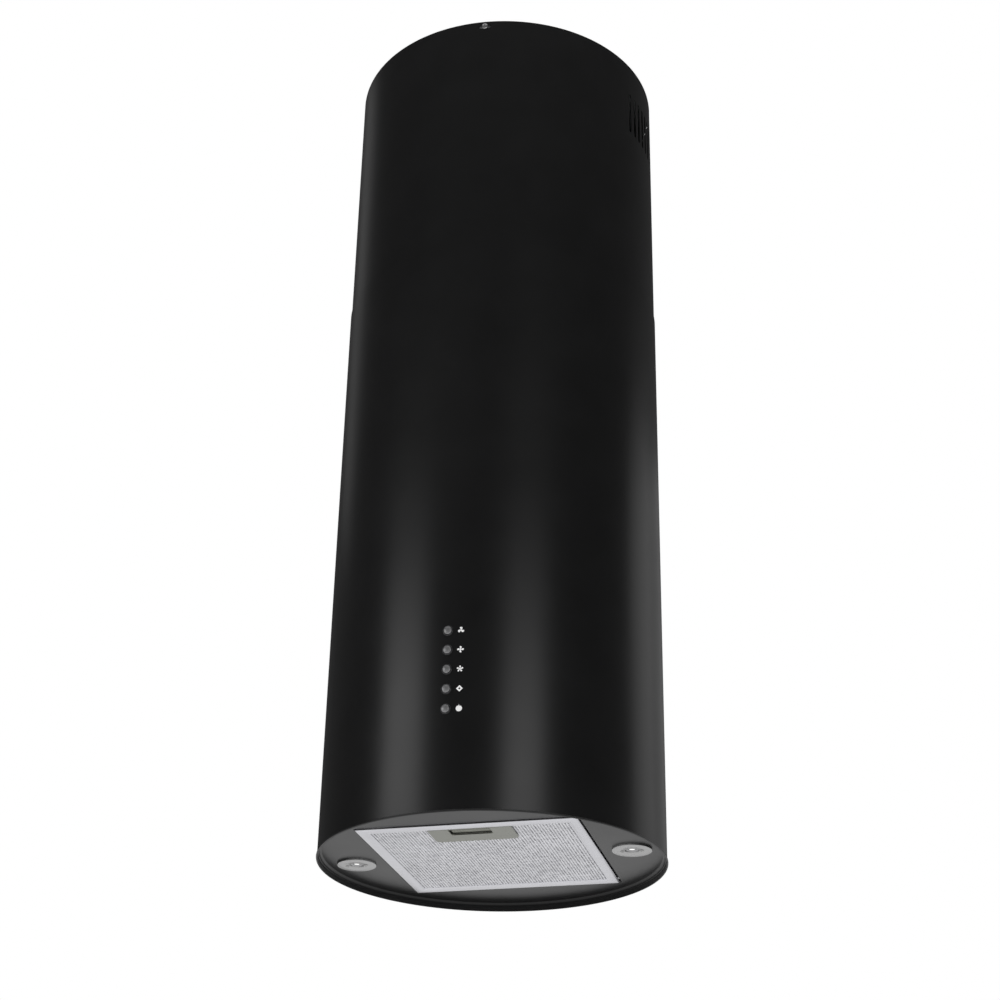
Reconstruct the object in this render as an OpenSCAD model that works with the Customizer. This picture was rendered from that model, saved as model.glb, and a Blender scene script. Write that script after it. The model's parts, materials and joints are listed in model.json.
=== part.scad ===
/* [Overall] */
// Height from the ceiling to the lower rim
total_h = 940; // [920:1:1130]
// Outer diameter of the lower tube
body_d = 350; // [346:1:420]
// Height of the lower tube
lower_tube_h = 633; // [600:1:680]
// Sheet thickness of both tubes
tube_wall = 0.6; // [0.5:0.1:1]
// Radial gap between the chimney and the lower tube
tube_gap = 0.35; // [0.3:0.05:0.6]
// Length of chimney hidden inside the lower tube
tube_overlap = 143; // [130:1:160]

/* [Height adjustment] */
// How far the hood can be raised from this height
hood_raise = 180; // [120:5:190]
// How far the hood can be lowered from this height
hood_drop = 120; // [80:5:120]
// Width of each angle strut's legs
strut_leg = 20; // [16:1:24]
// Thickness of the angle struts
strut_t = 1.5; // [1.2:0.1:2]
// Radius of the strut clamp bolts
strut_bolt_r = 2.5; // [2:0.5:3]

/* [Ceiling plate] */
// Thickness of the ceiling plate
plate_t = 2; // [1.5:0.5:3]
// Radius of the opening for the duct
plate_open_r = 100; // [85:1:105]
// Circle that the ceiling bolts lie on
ceiling_pcd = 290; // [270:1:300]
// Radius of the ceiling bolt holes
ceiling_hole_r = 4; // [3:0.5:5]
// Radius of the hole that the mains lead comes down through
cable_hole_r = 8; // [7:0.5:10]

/* [Chimney] */
// Number of vent slots on each side
vent_count = 12; // [6:1:12]
// Width of a vent slot
vent_w = 5; // [4:0.5:6]
// Length of a vent slot
vent_l = 54.5; // [40:0.5:70]
// Distance from the chimney's top to the vent slots
vent_top = 41.5; // [35:0.5:50]
// Distance between neighbouring vent slots
vent_pitch = 11.2; // [9:0.1:12]
// Turn of the chimney screws from the front
chimney_screw_az = 5.2; // [0:0.1:10]
// Distance from the chimney's top to its screws
chimney_screw_drop = 7; // [6:0.5:10]

/* [Base and filter] */
// Height of the base panel's face above the rim
base_h = 9; // [8:0.5:12]
// Sheet thickness of the base panel
base_t = 0.8; // [0.6:0.1:1]
// Width of the grease filter
filter_w = 219; // [180:1:222]
// Depth of the grease filter
filter_d = 220; // [180:1:222]
// Thickness of the grease filter
filter_t = 9; // [8:0.5:12]
// How far the filter stands below the base panel
filter_proud = 2; // [1:0.5:3]
// Width of the filter frame's border
filter_border = 10; // [8:0.5:14]
// Width of the filter's handle plate
handle_w = 82; // [70:1:90]
// Depth of the filter's handle plate
handle_d = 36; // [32:1:42]
// Width of the finger recess
recess_w = 41; // [30:1:48]
// Depth of the finger recess
recess_d = 16; // [14:0.5:20]

/* [Lights] */
// Outer radius of a light's bezel
bezel_r = 20; // [18:0.5:22]
// Radius of a light's lens
lens_r = 6.8; // [6:0.2:7]
// Distance of a bezel's screws from its middle
bezel_screw_x = 9.6; // [9.4:0.1:12]

/* [Buttons] */
// Height of the lowest button above the rim
button_low_h = 101; // [95:1:120]
// Distance between neighbouring buttons
button_pitch = 20.1; // [18:0.1:24]
// Sideways offset of the buttons from the front centre line
button_x = -3.9; // [-10:0.1:0]
// Radius of a button's cap
button_r = 4; // [3.5:0.1:4.5]
// Radius of the ring round a button
button_ring_r = 5.1; // [4.8:0.1:6]
// How far a button can be pressed
button_travel = 1.5; // [1:0.1:2]

/* [Blower] */
// Outer radius of the impeller
impeller_r = 62; // [50:1:64]
// Half the width of the impeller
impeller_half_w = 54; // [40:1:56]
// Number of blades
blade_count = 32; // [20:1:40]
// Height of the blower shaft above the rim
blower_h = 310; // [300:1:320]
// Outer radius of the duct collar
collar_r = 75; // [60:0.5:75]
// Height of the duct collar
collar_h = 62; // [50:1:70]
// Radius of the motor shaft
shaft_r = 4; // [3:0.5:5]
// Radial running clearance of the shaft and the hinge pins
run_gap = 0.05; // [0.02:0.01:0.09]

/* [Hidden] */
$fn = 96;
// A cutter reaches this far past the face that it cuts
cut = 1;

// Tubes. Heights above the rim are turned into frame heights by up()
rim_z = -total_h;
body_r = body_d / 2;
tube_in_r = body_r - tube_wall;
chimney_r = tube_in_r - tube_gap;
chimney_in_r = chimney_r - tube_wall;
chimney_top_z = -0.5;
chimney_bottom_h = lower_tube_h - tube_overlap;
hem_r = 1;

// Tabs of the ceiling plate that the chimney's screws go through
chimney_tab_turn = 9;
chimney_tab_l = 22;
chimney_tab_gap = 0.6;
chimney_shank_r = 2;
tab_face_r = chimney_in_r - chimney_tab_gap - 0.1;
tab_slot_half = chimney_shank_r + 0.4;
chimney_screw_z = chimney_top_z - chimney_screw_drop;

// Base panel and its opening
panel_r = tube_in_r - 0.1;
panel_lip_h = 5.3;
panel_fillet = 3;
panel_top_h = base_h + base_t;
opening_gap = 0.8;
opening_rear_gap = 3.5;
collar_wall_h = 12;
open_x = filter_w / 2 + opening_gap;
open_front = -filter_d / 2 - opening_gap;
open_rear = filter_d / 2 + opening_rear_gap;

// Frame: lower struts stand round the filter opening, upper struts slide outside them
strut_in = max(open_x, -open_front, open_rear) + base_t + 1.7;
strut_out = strut_in + strut_t;
slide_gap = 0.3;
upper_in = strut_out + slide_gap;
upper_out = upper_in + strut_t;
strut_head_gap = 12;
lower_strut_top_h = total_h - hood_raise - strut_head_gap;
bolt_inset = 18;
bolt_spacing = 50;
bolt_x = strut_in - strut_leg / 2 + 1;
slot_gap = 0.4;
slot_high_z = -strut_head_gap - bolt_inset + strut_bolt_r + slot_gap + 1.5;
slot_low_z = -strut_head_gap - hood_raise - bolt_inset - bolt_spacing - hood_drop
  - strut_bolt_r - slot_gap - 1.5;
upper_strut_low_z = slot_low_z - 14;
foot_w = 24;
foot_screw_r = 2.5;

// Brace and blower plate lie inside the lower struts
frame_fit = 0.2;
plate_half = strut_in - frame_fit;
tray_t = 2;
tray_flange_h = 15;
brace_h = lower_strut_top_h - 28;
brace_open = 95;
frame_screw_r = 2;
frame_screw_y = strut_in - strut_leg / 2;

// Blower: a double inlet fan in a spiral casing whose outlet points up
blower_y = -20;
casing_gap = 6;
casing_wall = 2;
casing_half_w = impeller_half_w + casing_gap + casing_wall;
spiral_start = 100;
spiral_small_r = impeller_r + 8;
spiral_large_r = collar_r + 3 - blower_y;
casing_top_h = blower_h + 130;
inlet_r = impeller_r - 10;
blade_ring_w = 12;
blade_t = 1;
motor_r = impeller_r - blade_ring_w - 12;
hub_r = 10;
collar_wall = 1.6;
collar_in_r = collar_r - collar_wall;
collar_base_h = casing_top_h + tray_t;
collar_flange_t = 2;
collar_flange_w = 13;
flap_t = 1.5;
flap_h = collar_base_h + 12;
flap_r = collar_in_r - 1.9;
seat_gap = 0.3;
seat_t = 2;
pin_r = 2;
barrel_r = 3.4;
barrel_gap = 0.5;
barrel_w = 24;
barrel_step = barrel_w + 6;
rear_barrels = [-barrel_w - 3, barrel_step + 3];
front_barrels = [-2 * barrel_step + 3, 3];

// Controls on the front of the lower tube
button_count = 5;
button_hole_r = button_ring_r - 0.4;
ring_bore_r = button_r + 0.3;
ring_face = -body_r - 1;
ring_back = -body_r + 4;
cap_proud = 1.8;
cap_face = ring_face - cap_proud;
cap_collar_r = button_r + 1.2;
cap_collar_t = 1;
cap_back = ring_back + 0.1 + cap_collar_t;
switch_box_x0 = button_x - 20;
switch_box_x1 = button_x + 20;
switch_box_front = -body_r + 3;
switch_box_d = 22;
switch_box_low = button_low_h - 13;
switch_box_high = button_low_h + (button_count - 1) * button_pitch + 13;
switch_wall = 1.6;
board_t = 1.6;
board_front = switch_box_front + 12;
plunger_tip = cap_back + button_travel + 0.1;
stud_r = 1.5;
stud_offset = 5;

// Electronics behind the blower
box_half_w = 62;
box_low = 215;
box_high = 325;
box_front = strut_out + strut_t;
box_d = 38;
box_wall = 2;
lid_t = 1.5;
gland_r = 9;
gland_bore_r = 4;
gland_l = 18;
terminal_x = [-54, -20];
gland_x = (terminal_x[0] + terminal_x[1]) / 2;
gland_y = box_front + box_d / 2;
bracket_half = strut_out - strut_leg / 2;

// Lights, midway between the filter and the tube
led_x = (open_x + base_t + tube_in_r) / 2 - 0.5;
led_hole_r = bezel_r - 3;
led_body_r = led_hole_r - 0.5;
bezel_t = 2;
bezel_screw_r = 1.2;

// Grease filter
filter_low = base_h - filter_proud;
frame_wall = 0.8;
pivot_y = filter_d / 2 - 6;
pivot_h = filter_low + filter_t / 2;
pivot_r = 1.5;
mesh_gap = 0.3;
mesh_t = 1;
mesh_low = filter_low + frame_wall;
mesh_high = filter_low + filter_t - frame_wall;
handle_x = 1;
handle_front = -filter_d / 2 + filter_border + mesh_gap;
handle_t = frame_wall;
pocket_wall = 1.2;
pocket_front = handle_front;
pocket_back = pocket_front + recess_d + 8;
pocket_half = recess_w / 2 + 6;
latch_w = 22;
latch_low = filter_low + 4;
latch_t = 1.6;
latch_reach = 4;
latch_tip = open_front - base_t - latch_reach;
latch_slot_gap = 0.4;
latch_travel = 5;
finger_front = pocket_front + 1.8;
latch_back = finger_front + recess_d - latch_travel - 1.2;

function up(h) = rim_z + h;

// A box given by its corners, with heights above the rim
module slab(x, y, h) {
  translate([x[0], y[0], up(h[0])])
    cube([x[1] - x[0], y[1] - y[0], h[1] - h[0]]);
}

// A rod along X through a point in the YZ plane, given above the rim
module x_rod(x, y, h, r) {
  translate([x[0], y, up(h)])
    rotate([0, 90, 0])
      cylinder(r = r, h = x[1] - x[0]);
}

// A rod along Y through a point in the XZ plane, given above the rim
module y_rod(y, x, h, r) {
  translate([x, y[0], up(h)])
    rotate([-90, 0, 0])
      cylinder(r = r, h = y[1] - y[0]);
}

// An upright rod, with heights above the rim
module z_rod(h, x, y, r) {
  translate([x, y, up(h[0])])
    cylinder(r = r, h = h[1] - h[0]);
}

// A hexagonal nut or bolt head along Y
module y_hex(y, x, h, r) {
  translate([x, y[0], up(h)])
    rotate([-90, 0, 0])
      cylinder(r = r, h = y[1] - y[0], $fn = 6);
}

module pipe(h, r_out, r_in) {
  difference() {
    z_rod(h, 0, 0, r_out);
    z_rod([h[0] - cut, h[1] + cut], 0, 0, r_in);
  }
}

module four_corners() {
  for (sx = [-1, 1], sy = [-1, 1])
    scale_sign(sx, sy) children();
}

// Mirrors a corner piece into one of the four corners
module scale_sign(sx, sy) {
  mirror([sx < 0 ? 1 : 0, 0, 0])
    mirror([0, sy < 0 ? 1 : 0, 0])
      children();
}

// A slot with round ends, cut outwards along X, centred on its length
module slot_x(x, half_l, half_w, upright) {
  turn = upright ? 0 : 90;
  translate([x[0], 0, 0])
    rotate([turn, 0, 0]) {
      for (s = [-1, 1])
        translate([0, 0, s * (half_l - half_w)])
          rotate([0, 90, 0])
            cylinder(r = half_w, h = x[1] - x[0], $fn = 32);
      translate([0, -half_w, half_w - half_l])
        cube([x[1] - x[0], 2 * half_w, 2 * (half_l - half_w)]);
    }
}

// ---------------------------------------------------------------- ceiling frame

module at_chimney_screws() {
  for (side = [0, 180])
    rotate([0, 0, chimney_screw_az - 90 + side])
      children();
}

module ceiling_plate() {
  color("silver") difference() {
    union() {
      translate([0, 0, -plate_t])
        cylinder(r = chimney_in_r - chimney_tab_gap, h = plate_t);
      at_chimney_screws()
        rotate([0, 0, -chimney_tab_turn / 2])
          rotate_extrude(angle = chimney_tab_turn)
            translate([tab_face_r - strut_t, -chimney_tab_l])
              square([strut_t, chimney_tab_l - plate_t / 2]);
    }
    translate([0, 0, -plate_t - cut])
      cylinder(r = plate_open_r, h = plate_t + 2 * cut);
    for (a = [0 : 90 : 270])
      rotate([0, 0, a])
        translate([ceiling_pcd / 2, 0, -plate_t - cut])
          cylinder(r = ceiling_hole_r, h = plate_t + 2 * cut);
    // Open-ended slots let the chimney slide down on its loosened screws
    at_chimney_screws() {
      translate([tab_face_r - 4, 0, chimney_screw_z])
        rotate([0, 90, 0])
          cylinder(r = tab_slot_half, h = 8);
      translate([tab_face_r - 4, -tab_slot_half, -chimney_tab_l - cut])
        cube([8, 2 * tab_slot_half, chimney_tab_l + cut + chimney_screw_z]);
    }
    four_corners()
      foot_screw_place(-plate_t - cut, plate_t + 2 * cut, foot_screw_r);
    translate([gland_x, gland_y, -plate_t - cut])
      cylinder(r = cable_hole_r, h = plate_t + 2 * cut);
  }
}

module foot_screw_place(z, h, r) {
  translate([upper_out - foot_w / 2, upper_out - foot_w / 2, z])
    cylinder(r = r, h = h);
}

module upper_strut() {
  top_z = -plate_t;
  difference() {
    union() {
      translate([upper_out - strut_leg, upper_in, upper_strut_low_z])
        cube([strut_leg, strut_t, top_z - upper_strut_low_z]);
      translate([upper_in, upper_out - strut_leg, upper_strut_low_z])
        cube([strut_t, strut_leg, top_z - upper_strut_low_z]);
      translate([upper_out - foot_w, upper_out - foot_w, top_z - strut_t])
        cube([foot_w, foot_w, strut_t]);
    }
    translate([bolt_x, upper_in - cut, (slot_high_z + slot_low_z) / 2])
      rotate([0, 0, 90])
        slot_x([0, strut_t + 2 * cut], (slot_high_z - slot_low_z) / 2, strut_bolt_r + slot_gap, true);
    foot_screw_place(-plate_t - strut_t - cut, 2 * strut_t + cut, foot_screw_r);
  }
}

module upper_struts() {
  color("gainsboro") four_corners() upper_strut();
}

module strut_foot_screws() {
  head_h = 3;
  color("dimgray") four_corners() {
    foot_screw_place(-plate_t - strut_t - head_h, head_h, foot_screw_r * 1.9);
    foot_screw_place(-plate_t - strut_t - cut, plate_t + strut_t + cut - 0.2, foot_screw_r);
  }
}

// ---------------------------------------------------------------- chimney

module chimney_tube() {
  color([0.07, 0.07, 0.075]) difference() {
    pipe([chimney_bottom_h, total_h + chimney_top_z], chimney_r, chimney_in_r);
    for (side = [0, 180], i = [0 : vent_count - 1])
      rotate([0, 0, side + (i - (vent_count - 1) / 2) * vent_pitch / chimney_r * 180 / PI])
        translate([0, 0, chimney_top_z - vent_top - vent_l / 2])
          slot_x([chimney_in_r - 3, chimney_r + 2], vent_l / 2, vent_w / 2, true);
    at_chimney_screws()
      translate([0, 0, chimney_screw_z])
        slot_x([chimney_in_r - 3, chimney_r + 2], 7, 2.25, false);
  }
}

module chimney_screws() {
  head_r = 3.6;
  head_h = 1.8;
  nut_h = 3;
  color("silver") at_chimney_screws()
    translate([0, 0, chimney_screw_z])
      rotate([0, 90, 0]) {
        translate([0, 0, chimney_r + 0.1])
          cylinder(r = head_r, h = head_h);
        translate([0, 0, chimney_in_r - 7])
          cylinder(r = chimney_shank_r, h = tube_wall + 8);
        translate([0, 0, tab_face_r - strut_t - 0.3 - nut_h])
          cylinder(r = 4, h = nut_h, $fn = 6);
      }
}

// ---------------------------------------------------------------- hood shell

module at_buttons() {
  for (i = [0 : button_count - 1])
    button_place(i) children();
}

module button_place(i) {
  translate([button_x, 0, up(button_low_h + i * button_pitch)])
    rotate([-90, 0, 0])
      children();
}

module lower_tube() {
  color([0.05, 0.05, 0.055]) difference() {
    union() {
      pipe([0, lower_tube_h], body_r, tube_in_r);
      translate([0, 0, rim_z + hem_r])
        rotate_extrude()
          difference() {
            translate([body_r, 0])
              circle(r = hem_r, $fn = 32);
            translate([0, -2 * hem_r])
              square([tube_in_r, 4 * hem_r]);
          }
    }
    at_buttons()
      translate([0, 0, -body_r - 3])
        cylinder(r = button_hole_r, h = 8);
  }
}

// Half section of the panel: a flat sheet that turns down to a lip at its rim
module panel_profile() {
  corner = panel_r - base_t - panel_fillet;
  difference() {
    translate([0, panel_lip_h])
      square([panel_r, panel_top_h - panel_lip_h]);
    translate([-cut, panel_lip_h - cut])
      square([corner + cut, base_h - panel_lip_h + cut]);
    translate([-cut, panel_lip_h - cut])
      square([panel_r - base_t + cut, base_h - panel_fillet - panel_lip_h + cut]);
    translate([corner, base_h - panel_fillet])
      circle(r = panel_fillet, $fn = 48);
  }
}

module base_panel() {
  wall_top = panel_top_h + collar_wall_h;
  color([0.06, 0.06, 0.065]) difference() {
    union() {
      translate([0, 0, rim_z])
        rotate_extrude()
          panel_profile();
      slab([-open_x - base_t, open_x + base_t], [open_front - base_t, open_rear + base_t],
        [base_h + base_t / 2, wall_top]);
    }
    slab([-open_x, open_x], [open_front, open_rear], [0, wall_top + cut]);
    for (s = [-1, 1])
      z_rod([0, panel_top_h + cut], s * led_x, 0, led_hole_r);
    // Keeper slot for the filter's latch and holes for its pivot pins
    slab([handle_x - latch_w / 2 - latch_slot_gap, handle_x + latch_w / 2 + latch_slot_gap],
      [open_front - base_t - cut, open_front + cut],
      [latch_low - latch_slot_gap, latch_low + latch_t + latch_slot_gap]);
    x_rod([-open_x - base_t - cut, open_x + base_t + cut], pivot_y, pivot_h, pivot_r + run_gap);
  }
}

module lower_strut() {
  difference() {
    union() {
      slab([strut_out - strut_leg, strut_out], [strut_in, strut_out],
        [panel_top_h, lower_strut_top_h]);
      slab([strut_in, strut_out], [strut_out - strut_leg, strut_out],
        [panel_top_h, lower_strut_top_h]);
    }
    for (i = [0, 1])
      y_rod([strut_in - cut, strut_out + cut], bolt_x,
        lower_strut_top_h - bolt_inset - i * bolt_spacing, strut_bolt_r);
    at_frame_screws()
      cylinder(r = frame_screw_r, h = 8);
  }
}

module lower_struts() {
  color("gainsboro") four_corners() lower_strut();
}

// Bolts with a nut inside the lower strut and a head outside the upper one
module strut_clamp_bolts() {
  head_h = 3;
  nut_h = 4;
  seat = 0.3;
  color("dimgray") four_corners()
    for (i = [0, 1])
      let (h = lower_strut_top_h - bolt_inset - i * bolt_spacing) {
        y_hex([upper_out + seat, upper_out + seat + head_h], bolt_x, h, strut_bolt_r * 1.8);
        y_rod([strut_in - nut_h - 2, upper_out + seat + cut], bolt_x, h, strut_bolt_r);
        y_hex([strut_in - nut_h, strut_in], bolt_x, h, strut_bolt_r * 1.8);
      }
}

// Screws run outwards from inside the trays into the struts' side legs
module at_frame_screws() {
  for (h = [casing_top_h - tray_flange_h / 2, brace_h - tray_flange_h / 2])
    translate([plate_half - strut_t, frame_screw_y, up(h)])
      rotate([0, 90, 0])
        children();
}

module frame_screws() {
  color("dimgray") four_corners() at_frame_screws() {
    cylinder(r = frame_screw_r, h = strut_t * 2 + frame_fit - 0.1);
    translate([0, 0, -2])
      cylinder(r = frame_screw_r * 1.9, h = 2);
  }
}

// Square tray with a turned-down flange on its two sides
module tray(h, t) {
  slab([-plate_half, plate_half], [-plate_half, plate_half], [h, h + t]);
  for (s = [-1, 1])
    scale_sign(s, 1)
      slab([plate_half - strut_t, plate_half], [-plate_half, plate_half], [h - tray_flange_h, h + t]);
}

module tray_screw_holes() {
  four_corners() at_frame_screws()
    translate([0, 0, -cut])
      cylinder(r = frame_screw_r, h = 8);
}

module upper_brace() {
  color("gainsboro") difference() {
    tray(brace_h, strut_t);
    slab([-brace_open, brace_open], [-brace_open, brace_open], [brace_h - cut, brace_h + strut_t + cut]);
    tray_screw_holes();
  }
}

module blower_plate() {
  color("silver") difference() {
    tray(casing_top_h, tray_t);
    z_rod([casing_top_h - cut, casing_top_h + tray_t + cut], 0, 0, collar_in_r);
    tray_screw_holes();
  }
}

// ---------------------------------------------------------------- blower

// Side outline of the casing as [y, height], drawn in by inset
function casing_points(inset) = concat(
  [for (a = [spiral_start : 10 : 360])
    let (r = spiral_small_r - inset
      + (spiral_large_r - spiral_small_r) * (a - spiral_start) / (360 - spiral_start))
      [blower_y + r * cos(a - (a == spiral_start ? inset : 0)),
       blower_h + r * sin(a - (a == spiral_start ? inset : 0))]],
  [[blower_y + spiral_large_r - inset, casing_top_h + (inset > 0 ? cut : 0)],
   [-collar_r - 3 + inset, casing_top_h + (inset > 0 ? cut : 0)]]);

// An outline in the YZ plane, drawn above the rim, given a width along X
module side_extrude(x) {
  translate([x[0], 0, rim_z])
    rotate([90, 0, 90])
      linear_extrude(x[1] - x[0])
        children();
}

module at_shaft(x) {
  translate([x, blower_y, up(blower_h)])
    rotate([0, 90, 0])
      children();
}

module casing_half() {
  lip = 8;
  difference() {
    union() {
      side_extrude([0, casing_half_w])
        polygon(casing_points(0));
      slab([0, casing_half_w + lip], [-collar_r - 3 - lip, collar_r + 3 + lip],
        [casing_top_h - casing_wall, casing_top_h]);
    }
    side_extrude([-cut, casing_half_w - casing_wall])
      polygon(casing_points(casing_wall));
    slab([-cut, casing_half_w - casing_wall], [-collar_r, collar_r],
      [casing_top_h - casing_wall - cut, casing_top_h + cut]);
    at_shaft(casing_half_w - casing_wall - cut)
      cylinder(r = inlet_r, h = casing_wall + 2 * cut);
  }
}

module volute_right() {
  color("lightgray") casing_half();
}

module volute_left() {
  color("lightgray") mirror([1, 0, 0]) casing_half();
}

// Bell-mouthed ring round an inlet
module inlet_ring() {
  flare = 10;
  flare_r = 5;
  at_shaft(casing_half_w)
    rotate_extrude()
      difference() {
        translate([inlet_r, 0])
          square([flare + 4, flare_r]);
        translate([inlet_r, flare_r])
          circle(r = flare_r - 2, $fn = 48);
        translate([inlet_r + flare_r, 2])
          square([flare, flare_r]);
      }
}

module inlet_ring_right() {
  color("gray") inlet_ring();
}

module inlet_ring_left() {
  color("gray") mirror([1, 0, 0]) inlet_ring();
}

// Punched guard over the open inlet: rings joined by six spokes
module inlet_guard() {
  t = 1.5;
  bar = 2;
  ring_step = 12;
  hub = 8;
  color("silver") mirror([1, 0, 0])
    at_shaft(casing_half_w + 5) {
      for (r = [inlet_r + 4 : -ring_step : hub + ring_step / 2])
        guard_ring(r, r - bar, t);
      cylinder(r = hub, h = t);
      for (a = [0 : 60 : 300])
        rotate([0, 0, a])
          translate([hub - cut, -bar / 2, 0])
            cube([inlet_r + 3 - hub, bar, t]);
    }
}

module guard_ring(r_out, r_in, t) {
  difference() {
    cylinder(r = r_out, h = t);
    translate([0, 0, -cut])
      cylinder(r = r_in, h = t + 2 * cut);
  }
}

module motor_bracket() {
  arm_w = 14;
  t = 2.5;
  boss_r = motor_r - 6;
  color("gainsboro") at_shaft(casing_half_w + 5)
    difference() {
      union() {
        cylinder(r = boss_r, h = t);
        for (a = [90 : 120 : 330])
          rotate([0, 0, a])
            translate([boss_r - 4, -arm_w / 2, 0])
              cube([inlet_r + 16 - boss_r, arm_w, t]);
      }
      translate([0, 0, -cut])
        cylinder(r = shaft_r + 3, h = t + 2 * cut);
    }
}

module motor_body() {
  rim = 3;
  back = casing_half_w + 5;
  color("darkgray") difference() {
    union() {
      at_shaft(6)
        cylinder(r = motor_r, h = back - 6);
      at_shaft(24)
        cylinder(r = motor_r + rim, h = 6);
    }
    at_shaft(5)
      cylinder(r = shaft_r + run_gap, h = back);
  }
}

module motor_shaft() {
  color("silver") at_shaft(-14)
    cylinder(r = shaft_r, h = casing_half_w + 14);
}

module impeller() {
  color("dimgray") difference() {
    union() {
      at_shaft(-impeller_half_w)
        fan_ring(2);
      at_shaft(impeller_half_w - 2)
        fan_ring(2);
      at_shaft(-1)
        cylinder(r = impeller_r, h = 2);
      at_shaft(-14)
        cylinder(r = hub_r, h = 14);
      at_shaft(-impeller_half_w)
        for (i = [0 : blade_count - 1])
          rotate([0, 0, i * 360 / blade_count])
            translate([impeller_r - blade_ring_w + 0.5, 0, 0])
              rotate([0, 0, 25])
                cube([blade_ring_w - 1, blade_t, 2 * impeller_half_w]);
    }
    at_shaft(-15)
      cylinder(r = shaft_r, h = 20);
  }
}

module fan_ring(t) {
  difference() {
    cylinder(r = impeller_r, h = t);
    translate([0, 0, -cut])
      cylinder(r = impeller_r - blade_ring_w, h = t + 2 * cut);
  }
}

module capacitor() {
  can_r = 17;
  place = plate_half - can_r - 6;
  low = casing_top_h + tray_t;
  color("whitesmoke") {
    z_rod([low, low + 62], place, place, can_r);
    for (s = [-1, 1])
      z_rod([low + 61, low + 70], place + 6 * s, place, 2);
  }
}

module outlet_collar() {
  top = collar_base_h + collar_h;
  color([0.12, 0.12, 0.13]) difference() {
    union() {
      pipe([collar_base_h, top], collar_r, collar_in_r);
      pipe([collar_base_h, collar_base_h + collar_flange_t], collar_r + collar_flange_w, collar_in_r);
      pipe([flap_h - flap_t / 2 - seat_gap - seat_t, flap_h - flap_t / 2 - seat_gap],
        collar_in_r + cut / 2, flap_r - 1.5);
    }
    x_rod([-collar_r - cut, collar_r + cut], 0, flap_h, pin_r);
  }
}

module damper_pin() {
  color("silver") x_rod([-collar_r + 0.1, collar_r - 0.1], 0, flap_h, pin_r);
}

// Half of a butterfly flap on the +Y side, with two hinge barrels at the given places
module flap_half(barrels) {
  difference() {
    union() {
      intersection() {
        z_rod([flap_h - flap_t / 2, flap_h + flap_t / 2], 0, 0, flap_r);
        slab([-flap_r, flap_r], [barrel_r + barrel_gap, flap_r],
          [flap_h - flap_t, flap_h + flap_t]);
      }
      for (x = barrels) {
        slab([x, x + barrel_w], [0, barrel_r + barrel_gap + cut],
          [flap_h - flap_t / 2, flap_h + flap_t / 2]);
        x_rod([x, x + barrel_w], 0, flap_h, barrel_r);
      }
    }
    x_rod([-flap_r, flap_r], 0, flap_h, pin_r + run_gap);
  }
}

module damper_flap_rear() {
  color("gray") flap_half(rear_barrels);
}

module damper_flap_front() {
  color("gray") mirror([0, 1, 0]) flap_half(front_barrels);
}

// ---------------------------------------------------------------- electronics

// Flat bar across the two rear struts that carries the control box
module control_bracket() {
  color("gainsboro")
    slab([-bracket_half, bracket_half], [strut_out, box_front], [box_low + 20, box_low + 50]);
}

module control_box() {
  color("whitesmoke") difference() {
    slab([-box_half_w, box_half_w], [box_front, box_front + box_d], [box_low, box_high]);
    slab([-box_half_w + box_wall, box_half_w - box_wall],
      [box_front + box_wall, box_front + box_d + cut], [box_low + box_wall, box_high - box_wall]);
    z_rod([box_high - box_wall - cut, box_high + cut], gland_x, gland_y, gland_r - 2);
  }
}

module control_box_lid() {
  back = box_front + box_d;
  color("gainsboro") {
    slab([-box_half_w, box_half_w], [back, back + lid_t], [box_low, box_high]);
    for (h = [box_low + box_wall + 0.2, box_high - box_wall - 3.2])
      slab([-box_half_w + 10, -10], [back - 4, back + lid_t / 2], [h, h + 3]);
  }
}

module control_board() {
  front = box_front + box_wall + 6;
  color("darkgreen") {
    slab([-50, 50], [front, front + board_t], [box_low + 8, box_high - 38]);
    slab([-44, -16], [front + board_t, front + 20], [box_low + 14, box_low + 38]);
    slab([-6, 8], [front + board_t, front + 17], [box_low + 14, box_low + 32]);
    slab([14, 28], [front + board_t, front + 17], [box_low + 14, box_low + 32]);
    slab([34, 46], [front + board_t, front + 12], [box_low + 14, box_low + 50]);
    for (x = [-44, 42], h = [box_low + 11, box_high - 42])
      y_rod([front - 6, front + cut / 2], x, h, 2);
  }
}

module terminal_block() {
  front = box_front + box_wall;
  color("ivory") difference() {
    slab(terminal_x, [front, front + 16], [box_high - 28, box_high - 10]);
    for (i = [0 : 2])
      y_rod([front + 8, front + 17], terminal_x[0] + 6 + i * 11, box_high - 19, 2.5);
  }
}

module cable_gland() {
  color([0.15, 0.15, 0.15]) difference() {
    union() {
      z_rod([box_high - box_wall - 4, box_high + 2], gland_x, gland_y, gland_r - 2.1);
      translate([gland_x, gland_y, up(box_high)])
        cylinder(r = gland_r + 1.5, h = 6, $fn = 6);
      z_rod([box_high + 5, box_high + gland_l - box_wall - 4], gland_x, gland_y, gland_r - 1);
    }
    z_rod([box_high - box_wall - 5, box_high + gland_l], gland_x, gland_y, gland_bore_r);
  }
}

module led_driver() {
  color("whitesmoke") {
    slab([-45, 45], [strut_out + 2, strut_out + 32], [panel_top_h, panel_top_h + 22]);
    for (s = [-1, 1])
      scale_sign(s, 1)
        slab([44, 56], [strut_out + 8, strut_out + 26], [panel_top_h, panel_top_h + 2]);
  }
}

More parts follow.
